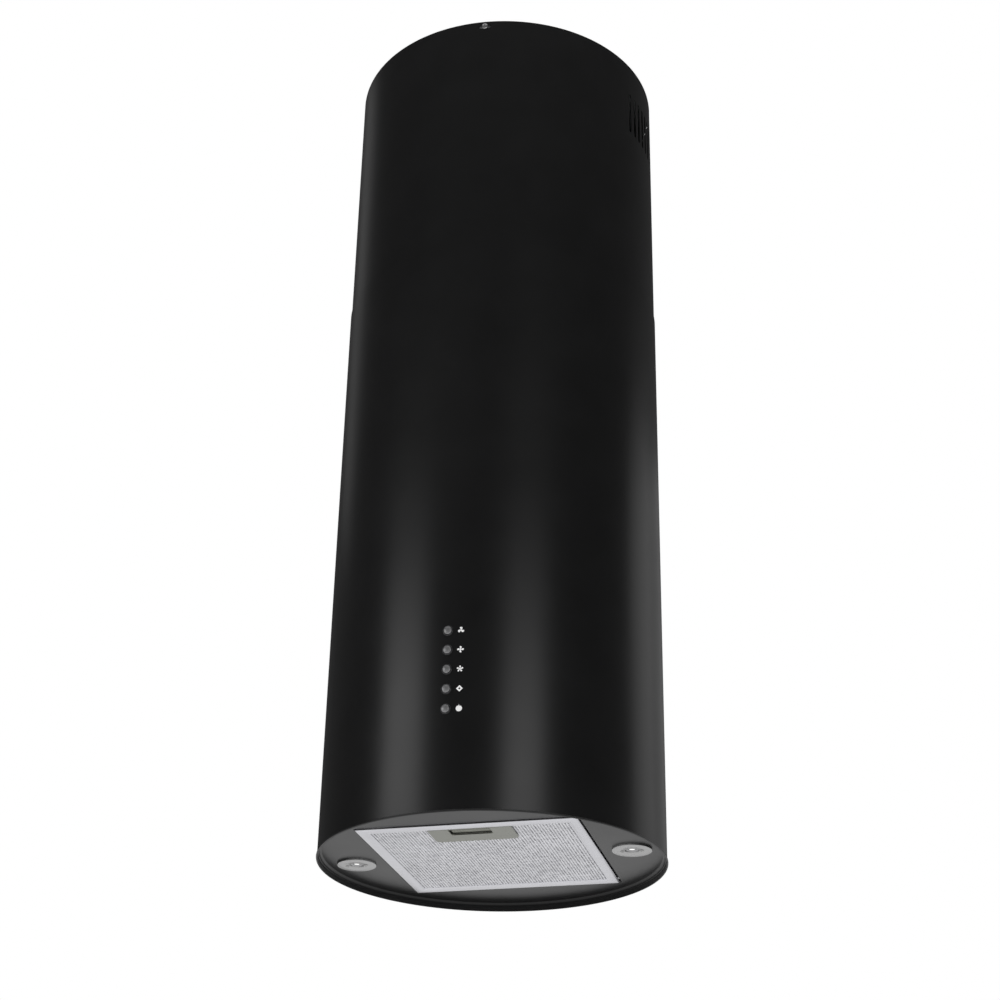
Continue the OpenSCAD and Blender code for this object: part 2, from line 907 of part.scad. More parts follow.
module switch_housing() {
  back = switch_box_front + switch_box_d;
  color([0.1, 0.1, 0.1]) difference() {
    union() {
      slab([switch_box_x0, switch_box_x1], [switch_box_front, back], [switch_box_low, switch_box_high]);
      slab([button_x - 8, button_x + 8], [switch_box_front, switch_box_front + switch_wall],
        [switch_box_low - 2 * stud_offset, switch_box_high + 2 * stud_offset]);
    }
    slab([switch_box_x0 + switch_wall, switch_box_x1 - switch_wall],
      [switch_box_front + switch_wall, back + cut],
      [switch_box_low + switch_wall, switch_box_high - switch_wall]);
    at_buttons()
      translate([0, 0, switch_box_front - cut])
        cylinder(r = cap_collar_r + 0.4, h = switch_wall + 2 * cut);
    at_studs(switch_box_front - cut, switch_wall + 2 * cut, stud_r + 0.2);
  }
}

module at_studs(y, l, r) {
  for (h = [switch_box_low - stud_offset, switch_box_high + stud_offset])
    y_rod([y, y + l], button_x, h, r);
}

// Studs welded inside the tube, with the nuts that hold the switch housing
module switch_studs() {
  nut_h = 2.4;
  nut_y = switch_box_front + switch_wall + 0.1;
  wall_y = -sqrt(tube_in_r * tube_in_r - pow(abs(button_x) + stud_r, 2));
  color("silver") {
    at_studs(wall_y, nut_y + nut_h + 2 - wall_y, stud_r);
    for (h = [switch_box_low - stud_offset, switch_box_high + stud_offset])
      y_hex([nut_y, nut_y + nut_h], button_x, h, stud_r * 2);
  }
}

module switch_board() {
  color("darkgreen")
    slab([switch_box_x0 + switch_wall + 0.3, switch_box_x1 - switch_wall - 0.3],
      [board_front, board_front + board_t], [switch_box_low + 3, switch_box_high - 3]);
}

module tact_switches() {
  body = 6;
  shoulder = board_front - 4;
  color("black") at_buttons() {
    translate([-body / 2, -body / 2, shoulder])
      cube([body, body, board_front - shoulder]);
    translate([0, 0, plunger_tip])
      cylinder(r = 1.7, h = shoulder - plunger_tip + cut / 2);
  }
}

module button_rings() {
  color("darkgray") at_buttons()
    difference() {
      union() {
        translate([0, 0, ring_face])
          rotate_extrude()
            polygon([[0, 0], [button_ring_r - 0.4, 0], [button_ring_r, 0.4], [button_ring_r, 1], [0, 1]]);
        translate([0, 0, ring_face + 0.5])
          cylinder(r = button_hole_r - 0.05, h = ring_back - ring_face - 0.5);
      }
      translate([0, 0, ring_face - cut])
        cylinder(r = ring_bore_r, h = ring_back - ring_face + 2 * cut);
    }
}

// Domed cap on a stem, held in by a collar behind its ring
module button(i) {
  edge = 0.9;
  color("darkgray") button_place(i) {
    translate([0, 0, cap_face])
      rotate_extrude()
        intersection() {
          translate([0, 0])
            square([button_r, cap_back - cap_face]);
          translate([0, button_r * 2.4])
            circle(r = button_r * 2.4, $fn = 96);
        }
    translate([0, 0, cap_face + edge])
      cylinder(r = button_r, h = cap_back - cap_face - edge);
    translate([0, 0, cap_back - cap_collar_t])
      cylinder(r = cap_collar_r, h = cap_collar_t);
  }
}

module button_power() {
  button(0);
}

module button_light() {
  button(1);
}

module button_fan_high() {
  button(2);
}

module button_fan_medium() {
  button(3);
}

module button_fan_low() {
  button(4);
}

// ---------------------------------------------------------------- lights

// Flat ring with a dished middle, just below the panel's face
module led_bezel(side) {
  low = base_h - bezel_t - 0.1;
  color("silver")
    translate([side * led_x, 0, up(low)])
      difference() {
        union() {
          rotate_extrude()
            polygon([[0, 0], [bezel_r - 0.6, 0], [bezel_r, 0.6], [bezel_r, bezel_t], [0, bezel_t]]);
          cylinder(r = led_hole_r - 0.3, h = bezel_t + 1.5);
        }
        translate([0, 0, -cut])
          cylinder(r1 = lens_r + 0.5, r2 = lens_r, h = bezel_t + cut);
        translate([0, 0, -cut])
          cylinder(r = lens_r, h = bezel_t + 4);
        for (s = [-1, 1])
          translate([s * bezel_screw_x, 0, -cut])
            cylinder(r = bezel_screw_r, h = bezel_t + 4);
      }
}

module led_bezel_left() {
  led_bezel(-1);
}

module led_bezel_right() {
  led_bezel(1);
}

module led_lens(side) {
  low = base_h - bezel_t + 1.2;
  color("white")
    translate([side * led_x, 0, up(low)])
      cylinder(r = lens_r - 0.1, h = 1.6);
}

module led_lens_left() {
  led_lens(-1);
}

module led_lens_right() {
  led_lens(1);
}

// Finned heat sink above the panel
module led_body(side) {
  low = base_h + 1.5;
  high = low + 24;
  color("dimgray") difference() {
    z_rod([low, high], side * led_x, 0, led_body_r);
    for (h = [low + 7 : 5 : high - 4])
      difference() {
        z_rod([h, h + 2.5], side * led_x, 0, led_body_r + cut);
        z_rod([h - cut, h + 2.5 + cut], side * led_x, 0, led_body_r - 4);
      }
    for (s = [-1, 1])
      z_rod([low - cut, low + 3], side * led_x + s * bezel_screw_x, 0, bezel_screw_r);
  }
}

module led_body_left() {
  led_body(-1);
}

module led_body_right() {
  led_body(1);
}

// Two screws beside each lens
module led_screws() {
  head_r = 2.3;
  head_h = 0.6;
  low = base_h - bezel_t - 0.1;
  color("silver") for (side = [-1, 1], s = [-1, 1])
    translate([side * led_x + s * bezel_screw_x, 0, up(low)]) {
      translate([0, 0, -head_h])
        cylinder(r = head_r, h = head_h);
      cylinder(r = bezel_screw_r, h = bezel_t + 3);
    }
}

// Two spring clips to each light, which grip the panel from above
module led_clips() {
  w = 8;
  t = 0.8;
  reach = 5;
  color("silver") for (side = [-1, 1], s = [-1, 1])
    translate([side * led_x, 0, up(panel_top_h + 0.1)])
      rotate([0, 0, s * 90]) {
        translate([led_hole_r - 0.2, -w / 2, 0])
          cube([reach, w, t]);
        translate([led_hole_r - 0.2, -w / 2, 0])
          cube([t, w, 15]);
      }
}

// ---------------------------------------------------------------- grease filter

module filter_frame() {
  hx = filter_w / 2;
  hy = filter_d / 2;
  high = filter_low + filter_t;
  in = frame_wall;
  color("silver") difference() {
    slab([-hx, hx], [-hy, hy], [filter_low, high]);
    slab([in - hx, hx - in], [in - hy, hy - in], [filter_low + in, high - in]);
    slab([filter_border - hx, hx - filter_border], [filter_border - hy, hy - filter_border],
      [filter_low - cut, high + cut]);
    slab([handle_x - latch_w / 2 - latch_slot_gap, handle_x + latch_w / 2 + latch_slot_gap],
      [-hy - cut, in - hy + cut],
      [latch_low - latch_slot_gap, latch_low + latch_t + latch_slot_gap]);
    x_rod([-hx - cut, hx + cut], pivot_y, pivot_h, pivot_r);
  }
}

// Sheet that fills the frame, less the room for the latch pocket and the pivot pins
module filter_layer(low, high) {
  hx = filter_w / 2 - frame_wall - mesh_gap;
  hy = filter_d / 2 - frame_wall - mesh_gap;
  difference() {
    slab([-hx, hx], [-hy, hy], [low, high]);
    slab([handle_x - pocket_half - mesh_gap, handle_x + pocket_half + mesh_gap],
      [-hy - cut, pocket_back + mesh_gap], [low - cut, high + cut]);
    for (s = [-1, 1])
      scale_sign(s, 1)
        slab([hx - 6, hx + cut], [pivot_y - 4, hy + cut], [low - cut, high + cut]);
  }
}

module filter_mesh_lower() {
  color("lightgray") filter_layer(mesh_low, mesh_low + mesh_t);
}

module filter_mesh_core() {
  color("gray") filter_layer(mesh_low + mesh_t, mesh_high - mesh_t);
}

module filter_mesh_upper() {
  color("lightgray") filter_layer(mesh_high - mesh_t, mesh_high);
}

// Visible plate round the finger recess, with a pocket above it for the latch
module filter_handle() {
  high = filter_low + filter_t - frame_wall - 0.1;
  plate_x = [handle_x - handle_w / 2, handle_x + handle_w / 2];
  pocket_x = [handle_x - pocket_half, handle_x + pocket_half];
  cup_x = [handle_x - recess_w / 2, handle_x + recess_w / 2];
  color([0.51, 0.52, 0.48]) difference() {
    union() {
      slab(plate_x, [handle_front, handle_front + handle_d], [filter_low, filter_low + handle_t - 0.05]);
      slab(pocket_x, [pocket_front, pocket_back], [filter_low, high]);
    }
    slab([pocket_x[0] + pocket_wall, pocket_x[1] - pocket_wall],
      [pocket_front - cut, pocket_back - pocket_wall],
      [filter_low + pocket_wall, high - pocket_wall]);
    slab(cup_x, [pocket_front + 1.5, pocket_front + 1.5 + recess_d],
      [filter_low - cut, filter_low + pocket_wall + cut]);
  }
}

module filter_pivot_pins() {
  color("silver") for (s = [-1, 1])
    scale_sign(s, 1)
      x_rod([filter_w / 2 - 5, open_x + base_t + 1.4], pivot_y, pivot_h, pivot_r);
}

// Slide with a finger tray in the recess and a tongue that reaches the keeper slot
module filter_latch() {
  color("dimgray") {
    slab([handle_x - latch_w / 2, handle_x + latch_w / 2], [latch_tip, latch_back + 1],
      [latch_low, latch_low + latch_t]);
    slab([handle_x - recess_w / 2 + 1, handle_x + recess_w / 2 - 1], [finger_front, latch_back],
      [filter_low + pocket_wall + 0.1, latch_low + latch_t]);
  }
}

// Flat leaf spring behind the latch
module latch_spring() {
  back = pocket_back - pocket_wall - 0.1;
  color("silver")
    slab([handle_x - 6, handle_x + 6], [latch_back + 1.2, back], [latch_low + 0.2, latch_low + 0.8]);
}

// ---------------------------------------------------------------- what to draw

ceiling_plate();
upper_struts();
strut_foot_screws();
chimney_tube();
chimney_screws();
lower_tube();
base_panel();
lower_struts();
strut_clamp_bolts();
upper_brace();
frame_screws();
blower_plate();
volute_left();
volute_right();
inlet_ring_left();
inlet_ring_right();
inlet_guard();
motor_bracket();
motor_body();
capacitor();
outlet_collar();
damper_pin();
impeller();
motor_shaft();
damper_flap_front();
damper_flap_rear();
control_bracket();
control_box();
control_box_lid();
control_board();
terminal_block();
cable_gland();
led_driver();
switch_housing();
switch_board();
tact_switches();
switch_studs();
button_rings();
button_fan_low();
button_fan_medium();
button_fan_high();
button_light();
button_power();
led_bezel_left();
led_bezel_right();
led_lens_left();
led_lens_right();
led_body_left();
led_body_right();
led_clips();
led_screws();
filter_frame();
filter_mesh_lower();
filter_mesh_core();
filter_mesh_upper();
filter_handle();
filter_pivot_pins();
filter_latch();
latch_spring();
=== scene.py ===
"""A cylindrical island range hood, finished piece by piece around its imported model.

Lengths are in millimetres while a piece is drawn and in metres once it is built. Heights named h are
above the lower rim, and up() turns them into heights of the frame.
"""
import json
import logging
import math
from collections import Counter
from dataclasses import dataclass, field
from enum import Enum
from functools import cache
from typing import Callable, Sequence

import bmesh
import bpy
import numpy as np
from mathutils import Matrix, Vector
from mathutils.geometry import delaunay_2d_cdt


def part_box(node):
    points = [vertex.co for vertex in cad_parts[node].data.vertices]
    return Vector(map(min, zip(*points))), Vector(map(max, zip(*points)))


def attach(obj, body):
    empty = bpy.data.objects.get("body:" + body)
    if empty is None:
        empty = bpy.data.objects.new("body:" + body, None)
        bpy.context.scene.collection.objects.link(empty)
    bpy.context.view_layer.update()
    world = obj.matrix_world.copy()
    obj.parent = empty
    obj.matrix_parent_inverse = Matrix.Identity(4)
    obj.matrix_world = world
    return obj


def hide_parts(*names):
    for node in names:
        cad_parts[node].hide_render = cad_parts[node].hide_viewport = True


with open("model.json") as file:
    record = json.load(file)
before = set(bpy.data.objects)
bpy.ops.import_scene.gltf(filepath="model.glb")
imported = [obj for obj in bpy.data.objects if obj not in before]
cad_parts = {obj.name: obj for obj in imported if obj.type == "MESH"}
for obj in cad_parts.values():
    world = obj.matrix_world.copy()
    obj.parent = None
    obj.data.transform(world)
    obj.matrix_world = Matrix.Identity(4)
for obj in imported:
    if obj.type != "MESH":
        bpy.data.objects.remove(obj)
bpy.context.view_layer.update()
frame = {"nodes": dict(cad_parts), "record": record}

LOG = logging.getLogger("hood")
MM = 0.001
WELD = 1e-3
Point = tuple[float, float]
Loop = list[Point]
Corners = Sequence[bmesh.types.BMVert]
Shape = Callable[[float, float, float], Vector]


# ---------------------------------------------------------------- measures


@dataclass(frozen=True)
class Span:
    """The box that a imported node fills, in millimetres."""

    low: Vector
    high: Vector

    @classmethod
    def of(cls, node: str) -> "Span":
        """Reads the box of a node.

        Args:
            node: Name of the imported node.

        Returns:
            The node's box.
        """
        low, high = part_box(node)
        return cls(low / MM, high / MM)

    @property
    def middle(self) -> Vector:
        """The centre of the box."""
        return (self.low + self.high) / 2

    @property
    def size(self) -> Vector:
        """The box's three sides."""
        return self.high - self.low


RIM = Span.of("lower_tube").low.z


def up(h: float) -> float:
    """Turns a height above the lower rim into a height of the frame."""
    return RIM + h


def arc(centre: Point, radius: float, start: float, end: float, steps: int) -> Loop:
    """Points along a round arc.

    Args:
        centre: Middle of the arc.
        radius: Radius of the arc.
        start: Bearing of the first point in degrees.
        end: Bearing of the last point in degrees.
        steps: Number of stretches between the two.

    Returns:
        The points, both ends included.
    """
    turns = [math.radians(start + (end - start) * i / steps) for i in range(steps + 1)]
    return [(centre[0] + radius * math.cos(t), centre[1] + radius * math.sin(t)) for t in turns]


def circle(centre: Point, radius: float, steps: int) -> Loop:
    """Points round a full circle, the first not repeated."""
    return arc(centre, radius, 0, 360, steps)[:-1]


def rounded_box(low: Point, high: Point, radii: Sequence[float], steps: int = 6) -> Loop:
    """Outline of a rectangle with round corners.

    Args:
        low: Corner with the lowest coordinates.
        high: Corner with the highest coordinates.
        radii: Corner radii, from the lowest corner counter-clockwise.
        steps: Stretches in each round corner.

    Returns:
        The outline, counter-clockwise.
    """
    corners = [(low[0], low[1], 1, 1, 180), (high[0], low[1], -1, 1, 270),
               (high[0], high[1], -1, -1, 0), (low[0], high[1], 1, -1, 90)]
    outline: Loop = []
    for (x, y, sx, sy, start), r in zip(corners, radii):
        if r <= 0:
            outline.append((x, y))
        else:
            outline += arc((x + sx * r, y + sy * r), r, start, start + 90, steps)
    return outline


def inside(point: Point, loop: Loop) -> bool:
    """Says whether a point lies within a closed outline."""
    x, y = point
    hit = False
    for (x0, y0), (x1, y1) in zip(loop, loop[1:] + loop[:1]):
        if (y0 > y) != (y1 > y) and x < (x1 - x0) * (y - y0) / (y1 - y0) + x0:
            hit = not hit
    return hit


def flat_pattern(outline: Loop, holes: Sequence[Loop], guides: Sequence[tuple[Point, Point]] = ()) \
        -> tuple[list[Vector], list[tuple[int, int, int]]]:
    """Cuts a flat sheet with holes into triangles.

    Args:
        outline: Outer edge of the sheet.
        holes: Edges of its holes.
        guides: Straight lines that the triangles have to follow.

    Returns:
        The corners, and the triangles as numbers of corners.
    """
    points: list[Point] = []
    edges: list[tuple[int, int]] = []
    for loop in [outline, *holes]:
        first = len(points)
        points += loop
        edges += [(first + i, first + (i + 1) % len(loop)) for i in range(len(loop))]
    for a, b in guides:
        edges.append((len(points), len(points) + 1))
        points += [a, b]
    found = delaunay_2d_cdt([Vector(p) for p in points], edges, [], 1, 1e-5, False)
    boxes = [(min(p[0] for p in h), max(p[0] for p in h), min(p[1] for p in h), max(p[1] for p in h), h)
             for h in holes]
    corners, faces = found[0], []
    for face in found[2]:
        mid = sum((corners[i] for i in face), Vector((0, 0))) / len(face)
        if any(x0 < mid.x < x1 and y0 < mid.y < y1 and inside((mid.x, mid.y), h)
               for x0, x1, y0, y1, h in boxes):
            continue
        faces.append(tuple(face))
    return corners, faces


# ---------------------------------------------------------------- drawing meshes


class Draft:
    """A mesh under construction, in millimetres, kept as closed shells."""

    def __init__(self) -> None:
        """Starts with nothing drawn."""
        self.bm = bmesh.new()
        self.turn = self.bm.verts.layers.float.new("turn")
        self.skin = self.bm.faces.layers.int.new("skin")

    def corner(self, place: Vector, turn: float = 0.0) -> bmesh.types.BMVert:
        """Adds one corner, with its distance from the axis that it was turned round."""
        vert = self.bm.verts.new(place)
        vert[self.turn] = turn
        return vert

    def face(self, verts: Corners, skin: int = 0) -> None:
        """Adds one face, marked as part of a skin if skin isn't 0."""
        found = self.bm.faces.new(verts)
        found[self.skin] = skin

    def bridge(self, a: Corners, b: Corners, closed: bool = True) -> None:
        """Joins two rows of corners with faces.

        Args:
            a: First row, one corner long where it is a pole.
            b: Second row, one corner long where it is a pole.
            closed: Whether the rows run all the way round.
        """
        n = max(len(a), len(b))
        for i in range(n if closed else n - 1):
            j = (i + 1) % n
            if len(a) == 1:
                self.face((a[0], b[j], b[i]))
            elif len(b) == 1:
                self.face((a[i], a[j], b[0]))
            else:
                self.face((a[i], a[j], b[j], b[i]))

    def lathe(self, profile: Loop, at: Matrix = Matrix.Identity(4), steps: int = 96,
              ring: bool = True) -> "Draft":
        """Turns a profile round the local Z axis.

        Args:
            profile: Points as (radius, height).
            at: Where the axis stands.
            steps: Stretches round the axis.
            ring: Whether the profile's last point joins its first. Otherwise it ends on the axis.

        Returns:
            The draft itself.
        """
        rows = []
        for r, z in profile:
            count = 1 if r < 1e-6 else steps
            rows.append([self.corner(at @ Vector((r * math.cos(t), r * math.sin(t), z)), r)
                         for t in (2 * math.pi * i / steps for i in range(count))])
        for a, b in zip(rows, rows[1:] + (rows[:1] if ring else [])):
            if len(a) > 1 or len(b) > 1:
                self.bridge(a, b)
        return self

    def prism(self, outline: Loop, low: float, high: float, at: Matrix = Matrix.Identity(4)) -> "Draft":
        """Raises a flat outline into a solid.

        Args:
            outline: The outline in the local XY plane.
            low: Height of its lower face.
            high: Height of its upper face.
            at: Where the outline's plane lies.

        Returns:
            The draft itself.
        """
        rows = [[self.corner(at @ Vector((x, y, z))) for x, y in outline] for z in (low, high)]
        self.bridge(*rows)
        self.face(rows[0][::-1])
        self.face(rows[1])
        return self

    def absorb(self, piece: bpy.types.Object) -> "Draft":
        """Takes a finished object's mesh into the draft and deletes the object."""
        self.bm.transform(Matrix.Scale(MM, 4))
        self.bm.from_mesh(piece.data)
        self.bm.transform(Matrix.Scale(1 / MM, 4))
        discard(piece)
        return self

    def block(self, low: Sequence[float], high: Sequence[float], edge: float = 0.0, steps: int = 2,
              at: Matrix = Matrix.Identity(4)) -> "Draft":
        """Draws a box with rounded edges.

        Args:
            low: Lowest corner.
            high: Highest corner.
            edge: Radius of its edges, or 0 for sharp ones.
            steps: Stretches in each rounded edge.
            at: Where the box is put.

        Returns:
            The draft itself.
        """
        size = Vector(high) - Vector(low)
        place = at @ Matrix.Translation((Vector(high) + Vector(low)) / 2) @ Matrix.Diagonal((*size, 1))
        verts = bmesh.ops.create_cube(self.bm, size=1, matrix=place)["verts"]
        if edge > 0:
            edges = list({e for v in verts for e in v.link_edges})
            bmesh.ops.bevel(self.bm, geom=edges, offset=min(edge, min(size) / 2.1), segments=steps,
                            profile=0.5, affect="EDGES")
        return self

    def mitred(self, profile: Loop, low: Point, high: Point) -> "Draft":
        """Runs a profile round a rectangle with mitred corners.

        Args:
            profile: Closed outline as (distance inwards from the rectangle, height).
            low: Corner of the rectangle with the lowest coordinates.
            high: Corner with the highest coordinates.

        Returns:
            The draft itself.
        """
        rows = []
        for d, z in profile:
            x0, y0, x1, y1 = low[0] + d, low[1] + d, high[0] - d, high[1] - d
            rows.append([self.corner(Vector((x, y, z))) for x, y in ((x0, y0), (x1, y0), (x1, y1), (x0, y1))])
        for a, b in zip(rows, rows[1:] + rows[:1]):
            self.bridge(a, b)
        return self

    def sheet(self, outline: Loop, holes: Sequence[Loop], depths: Point, shape: Shape,
              guides: Sequence[tuple[Point, Point]] = (), seam: Point | None = None) -> "Draft":
        """Draws a sheet with holes and a thickness, flat or rolled.

        Args:
            outline: Outer edge on the flat pattern.
            holes: Edges of the holes on the flat pattern.
            depths: The two depths between which the sheet lies.
            shape: Turns a point of the pattern and a depth into a place.
            guides: Straight lines on the pattern that the triangles follow.
            seam: The two ends of the pattern that meet once it is rolled.

        Returns:
            The draft itself.
        """
        corners, faces = flat_pattern(outline, holes, guides)
        under, over = [[self.corner(shape(p.x, p.y, d)) for p in corners] for d in depths]
        edges = Counter(frozenset(e) for f in faces for e in zip(f, f[1:] + f[:1]))
        for f in faces:
            self.face([under[i] for i in reversed(f)], 1)
            self.face([over[i] for i in f], 2)
            for a, b in zip(f, f[1:] + f[:1]):
                ends = corners[a].x, corners[b].x
                on_seam = seam and any(all(abs(x - s) < WELD for x in ends) for s in seam)
                if edges[frozenset((a, b))] == 1 and not on_seam:
                    self.face((under[a], under[b], over[b], over[a]))
        if seam:
            bmesh.ops.remove_doubles(self.bm, verts=self.bm.verts, dist=WELD)
        return self

    def build(self, name: str, sharp: float = 32.0, rolled: bool = False) -> bpy.types.Object:
        """Closes the drawing and makes an object of it, at the origin and in metres.

        Args:
            name: Name of the piece.
            sharp: Edges that turn further than this many degrees stay sharp.
            rolled: Whether the skins are round about the frame's Z axis and are shaded so.

        Returns:
            The new object.
        """
        bmesh.ops.recalc_face_normals(self.bm, faces=self.bm.faces)
        self.bm.transform(Matrix.Scale(MM, 4))
        mesh = bpy.data.meshes.new(name)
        self.bm.to_mesh(mesh)
        self.bm.free()
        mesh.shade_smooth()
        mesh.set_sharp_from_angle(angle=math.radians(sharp))
        if rolled:
            shade_round(mesh)
        return enlist(name, mesh)


def enlist(name: str, mesh: bpy.types.Mesh) -> bpy.types.Object:
    """Puts a mesh into the scene as an object at the origin."""
    piece = bpy.data.objects.new(name, mesh)
    bpy.context.scene.collection.objects.link(piece)
    return piece


def shade_round(mesh: bpy.types.Mesh) -> None:
    """Shades the skins of a rolled sheet as a true cylinder about the frame's Z axis."""
    normals = np.array([n.vector for n in mesh.corner_normals])
    skins = mesh.attributes["skin"].data
    for polygon in mesh.polygons:
        if not skins[polygon.index].value:
            continue
        for i in polygon.loop_indices:
            out = mesh.vertices[mesh.loops[i].vertex_index].co * Vector((1, 1, 0))
            out.normalize()
            normals[i] = out if polygon.normal.dot(out) > 0 else -out
    mesh.normals_split_custom_set([tuple(n) for n in normals])


def cut_away(piece: bpy.types.Object, tool: bpy.types.Object) -> None:
    """Cuts one object's shape out of another and deletes the tool."""
    cutter = piece.modifiers.new("cut", "BOOLEAN")
    cutter.operation = "DIFFERENCE"
    cutter.solver = "EXACT"
    cutter.object = tool
    bake_modifiers(piece)
    discard(tool)


def bake_modifiers(piece: bpy.types.Object) -> None:
    """Turns an object's modifiers into its plain mesh."""
    deps = bpy.context.evaluated_depsgraph_get()
    mesh = bpy.data.meshes.new_from_object(piece.evaluated_get(deps), preserve_all_data_layers=True,
                                           depsgraph=deps)
    piece.modifiers.clear()
    old = piece.data
    piece.data = mesh
    bpy.data.meshes.remove(old)


def discard(piece: bpy.types.Object) -> None:
    """Deletes a helper object and its mesh."""
    mesh = piece.data
    bpy.data.objects.remove(piece)
    bpy.data.meshes.remove(mesh)


def turned(x: float, y: float, z: float, aim: Vector) -> Matrix:
    """Places a local Z axis at a point, aimed along a direction."""
    return Matrix.Translation((x, y, z)) @ aim.to_track_quat("Z", "Y").to_matrix().to_4x4()


# ---------------------------------------------------------------- finishes


class Grain(Enum):
    """What the surface of a finish looks like close up."""

    ENAMEL = "powder coat with a faint orange peel"
    SPANGLE = "zinc crystals"
    BRUSHED = "lines drawn along one direction"
    MOULDED = "fine spark-eroded texture"
    TURNED = "rings left by a lathe"
    CAST = "coarse sand-cast skin"
    PLAIN = "smooth, with faint clouds"
    BOARD = "solder mask over copper tracks"


@dataclass(frozen=True)
class Finish:
    """A surface finish and how it is drawn with shader nodes."""

    slot: str
    colour: tuple[float, float, float]
    roughness: float
    grain: Grain
    metal: float = 0.0
    mottle: float = 0.12
    spread: float = 0.06
    relief: float = 0.01
    stretch: tuple[float, float, float] = (1.0, 1.0, 1.0)
    coat: float = 0.0
    specular: float = 0.5
    glow: float = 0.0

    def material(self) -> bpy.types.Material:
        """Builds the finish's material, or gives back the one already built."""
        return paint(self)


class NodeBench:
    """Adds nodes to a tree and wires them up."""

    tree: bpy.types.NodeTree

    def node(self, kind: str, values: dict[str | int, object] | None = None,
             **settings: object) -> bpy.types.Node:
        """Adds a node.

        Args:
            kind: Type of the node.
            values: Input sockets, each with a value or an output to link.
            settings: Properties of the node.

        Returns:
            The node.
        """
        made = self.tree.nodes.new(kind)
        for key, value in settings.items():
            setattr(made, key, value)
        for key, value in (values or {}).items():
            if isinstance(value, bpy.types.NodeSocket):
                self.tree.links.new(value, made.inputs[key])
            else:
                made.inputs[key].default_value = value
        return made


class Paint(NodeBench):
    """The shader nodes of one material."""

    def __init__(self, name: str) -> None:
        """Starts a material with a Principled shader.

        Args:
            name: Name of the material.
        """
        self.material = bpy.data.materials.new(name)
        self.material.use_nodes = True
        self.tree = self.material.node_tree
        self.shader = self.tree.nodes["Principled BSDF"]
        self.place = self.node("ShaderNodeTexCoord").outputs["Object"]

    def stretched(self, scale: Sequence[float]) -> bpy.types.NodeSocket:
        """Object coordinates scaled along each axis."""
        return self.node("ShaderNodeMapping", {"Vector": self.place, "Scale": tuple(scale)}).outputs["Vector"]

    def noise(self, scale: float, detail: float = 3.0, where: bpy.types.NodeSocket | None = None) \
            -> bpy.types.NodeSocket:
        """Grey noise at a scale in features a metre."""
        values = {"Vector": where or self.place, "Scale": scale, "Detail": detail}
        return self.node("ShaderNodeTexNoise", values).outputs["Fac"]

    def ramp(self, value: bpy.types.NodeSocket, low: float, high: float, to_low: float, to_high: float) \
            -> bpy.types.NodeSocket:
        """Moves a value from one range to another."""
        values = {"Value": value, "From Min": low, "From Max": high, "To Min": to_low, "To Max": to_high}
        return self.node("ShaderNodeMapRange", values).outputs["Result"]

    def sum(self, *parts: tuple[bpy.types.NodeSocket, float]) -> bpy.types.NodeSocket:
        """Adds up values, each with its share."""
        total: bpy.types.NodeSocket | float = 0.0
        for value, share in parts:
            values = {0: value, 1: share, 2: total}
            total = self.node("ShaderNodeMath", values, operation="MULTIPLY_ADD").outputs[0]
        return total


def grain_pattern(p: Paint, finish: Finish) -> tuple[bpy.types.NodeSocket, bpy.types.NodeSocket]:
    """Draws the close-up pattern of a finish.

    Args:
        p: Paint of the material.
        finish: The finish to draw.

    Returns:
        The pattern for colour and roughness, and the pattern for relief, both from 0 to 1.
    """
    clouds = p.noise(22, 4)
    if finish.grain is Grain.ENAMEL:
        peel = p.noise(260, 2)
        dust = p.noise(2600, 2)
        return p.sum((clouds, 0.7), (dust, 0.3)), p.sum((peel, 0.85), (dust, 0.15))
    if finish.grain is Grain.SPANGLE:
        cells = p.node("ShaderNodeTexVoronoi", {"Vector": p.place, "Scale": 160.0}).outputs["Color"]
        grey = p.node("ShaderNodeSeparateColor", {"Color": cells}).outputs[0]
        return p.sum((grey, 0.6), (clouds, 0.4)), p.sum((grey, 0.3), (p.noise(900), 0.7))
    if finish.grain is Grain.BRUSHED:
        lines = p.noise(1.0, 3, p.stretched([s * 40 for s in finish.stretch]))
        hair = p.noise(1.0, 2, p.stretched([s * 160 for s in finish.stretch]))
        return p.sum((lines, 0.5), (hair, 0.2), (clouds, 0.3)), p.sum((lines, 0.4), (hair, 0.6))
    if finish.grain is Grain.MOULDED:
        pits = p.noise(2200, 2)
        return p.sum((clouds, 0.6), (pits, 0.4)), pits
    if finish.grain is Grain.TURNED:
        radius = p.node("ShaderNodeAttribute", attribute_name="turn").outputs["Fac"]
        rings = p.node("ShaderNodeTexNoise", {"W": radius, "Scale": 14.0, "Detail": 4.0},
                       noise_dimensions="1D").outputs["Fac"]
        return p.sum((rings, 0.6), (clouds, 0.4)), rings
    if finish.grain is Grain.CAST:
        lumps = p.noise(700, 4)
        return p.sum((clouds, 0.4), (lumps, 0.6)), lumps
    if finish.grain is Grain.BOARD:
        tracks = p.node("ShaderNodeTexBrick", {
            "Vector": p.stretched((1, 1, 1)), "Scale": 260.0, "Mortar Size": 0.06,
            "Color1": (0.35, 0.35, 0.35, 1), "Color2": (0.6, 0.6, 0.6, 1),
            "Mortar": (1, 1, 1, 1)}).outputs["Color"]
        return p.sum((tracks, 0.8), (clouds, 0.2)), tracks
    return clouds, p.noise(600, 3)


